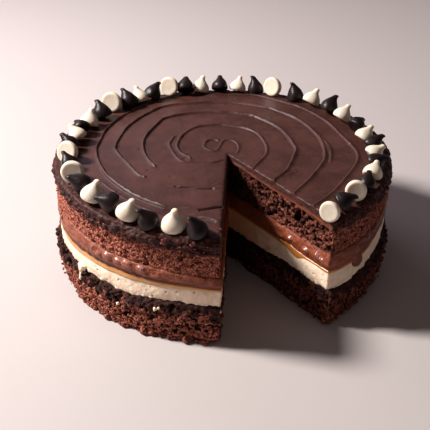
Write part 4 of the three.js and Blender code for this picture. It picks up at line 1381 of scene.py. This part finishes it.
# %% Crumbs that cling to the sponges, and small spills
WALK_END = mark[-1]


def crumbs(name, rows, material, slot, seed, values):
    """Dented balls at rows of x, y, z and half-width, with the same values for their finish all over."""
    points, faces = ball()
    strewn = []
    for order, (x, y, z, size) in enumerate(rows):
        dented = points * (1 + 0.4 * lumps(points * 1.2 + order * NEXT_CRUMB, 1.0, seed))[:, None]
        strewn.append((dented * size + np.array([x, y, max(z, size)]), faces))
    even = {key: np.full(len(rows) * len(points), value) for key, value in values.items()}
    return make_piece(name, *gather(strewn), material, slot, even)


lower_rows = np.vstack([
    along_wall(240, (0, WALK_END), (0.3, 3.5), (0.45, 1.25), 99.2, 120),
    along_wall(360, (RIGHT_CORNER, LEFT_CORNER), (3, 21), (0.35, 0.95), 101.3, 130),
    along_wall(60, (300, 356), (0.5, 3.0), (0.8, 2.0), 99.6, 140),
    along_wall(20, (276, 298), (18, 27), (0.9, 1.9), 102.6, 150),
    along_wall(26, (66, 84), (8, 27), (0.7, 1.5), 102.2, 160),
    along_wall(16, (33, 41), (0.4, 6), (0.7, 1.5), 99.8, 170),
    at_marks([(319.6, 2.0, 2.0), (326.6, 1.8, 1.9), (334.2, 2.4, 2.2), (348.5, 2.0, 2.0), (354.8, 1.6, 1.8)],
             100.4)])
upper_rows = np.vstack([
    along_wall(260, (RIGHT_CORNER, LEFT_CORNER), (47, 60), (0.3, 0.75), 100.4, 180),
    along_wall(220, (RIGHT_CORNER, LEFT_CORNER), (58.5, 65), (0.35, 0.9), 101.6, 190)])
fleck_rows = at_marks([(325.3, 15.5, 0.9), (339.1, 20.2, 1.3), (340.2, 21.0, 0.8), (358.8, 21.8, 0.9)], 101.9)
blob_rows = at_marks([(293.0, 45.7, 1.7), (291.4, 46.6, 1.1)], 101.2)

# the lower crumbs carry a little painted shade all over
crumbs("lower_sponge_crumbs", lower_rows, lower_crumb, "sponge", 121, {"hollow": 0.0, "moist": 0.2})
crumbs("upper_sponge_crumbs", upper_rows, upper_crumb, "sponge", 122, {"hollow": 0.0, "moist": 0.0})
crumbs("cream_flecks", fleck_rows, cream.data.materials[0], "cream", 123,
       {"pits": 0.0, "stain": 0.0, "soaked": 0.0})
# the blob carries a little of the filling's painted shade
crumbs("filling_blob", blob_rows, filling_gloss, "filling", 124, {"stripe": 0.3, "wet": 0.5, "sliced": 0.0})
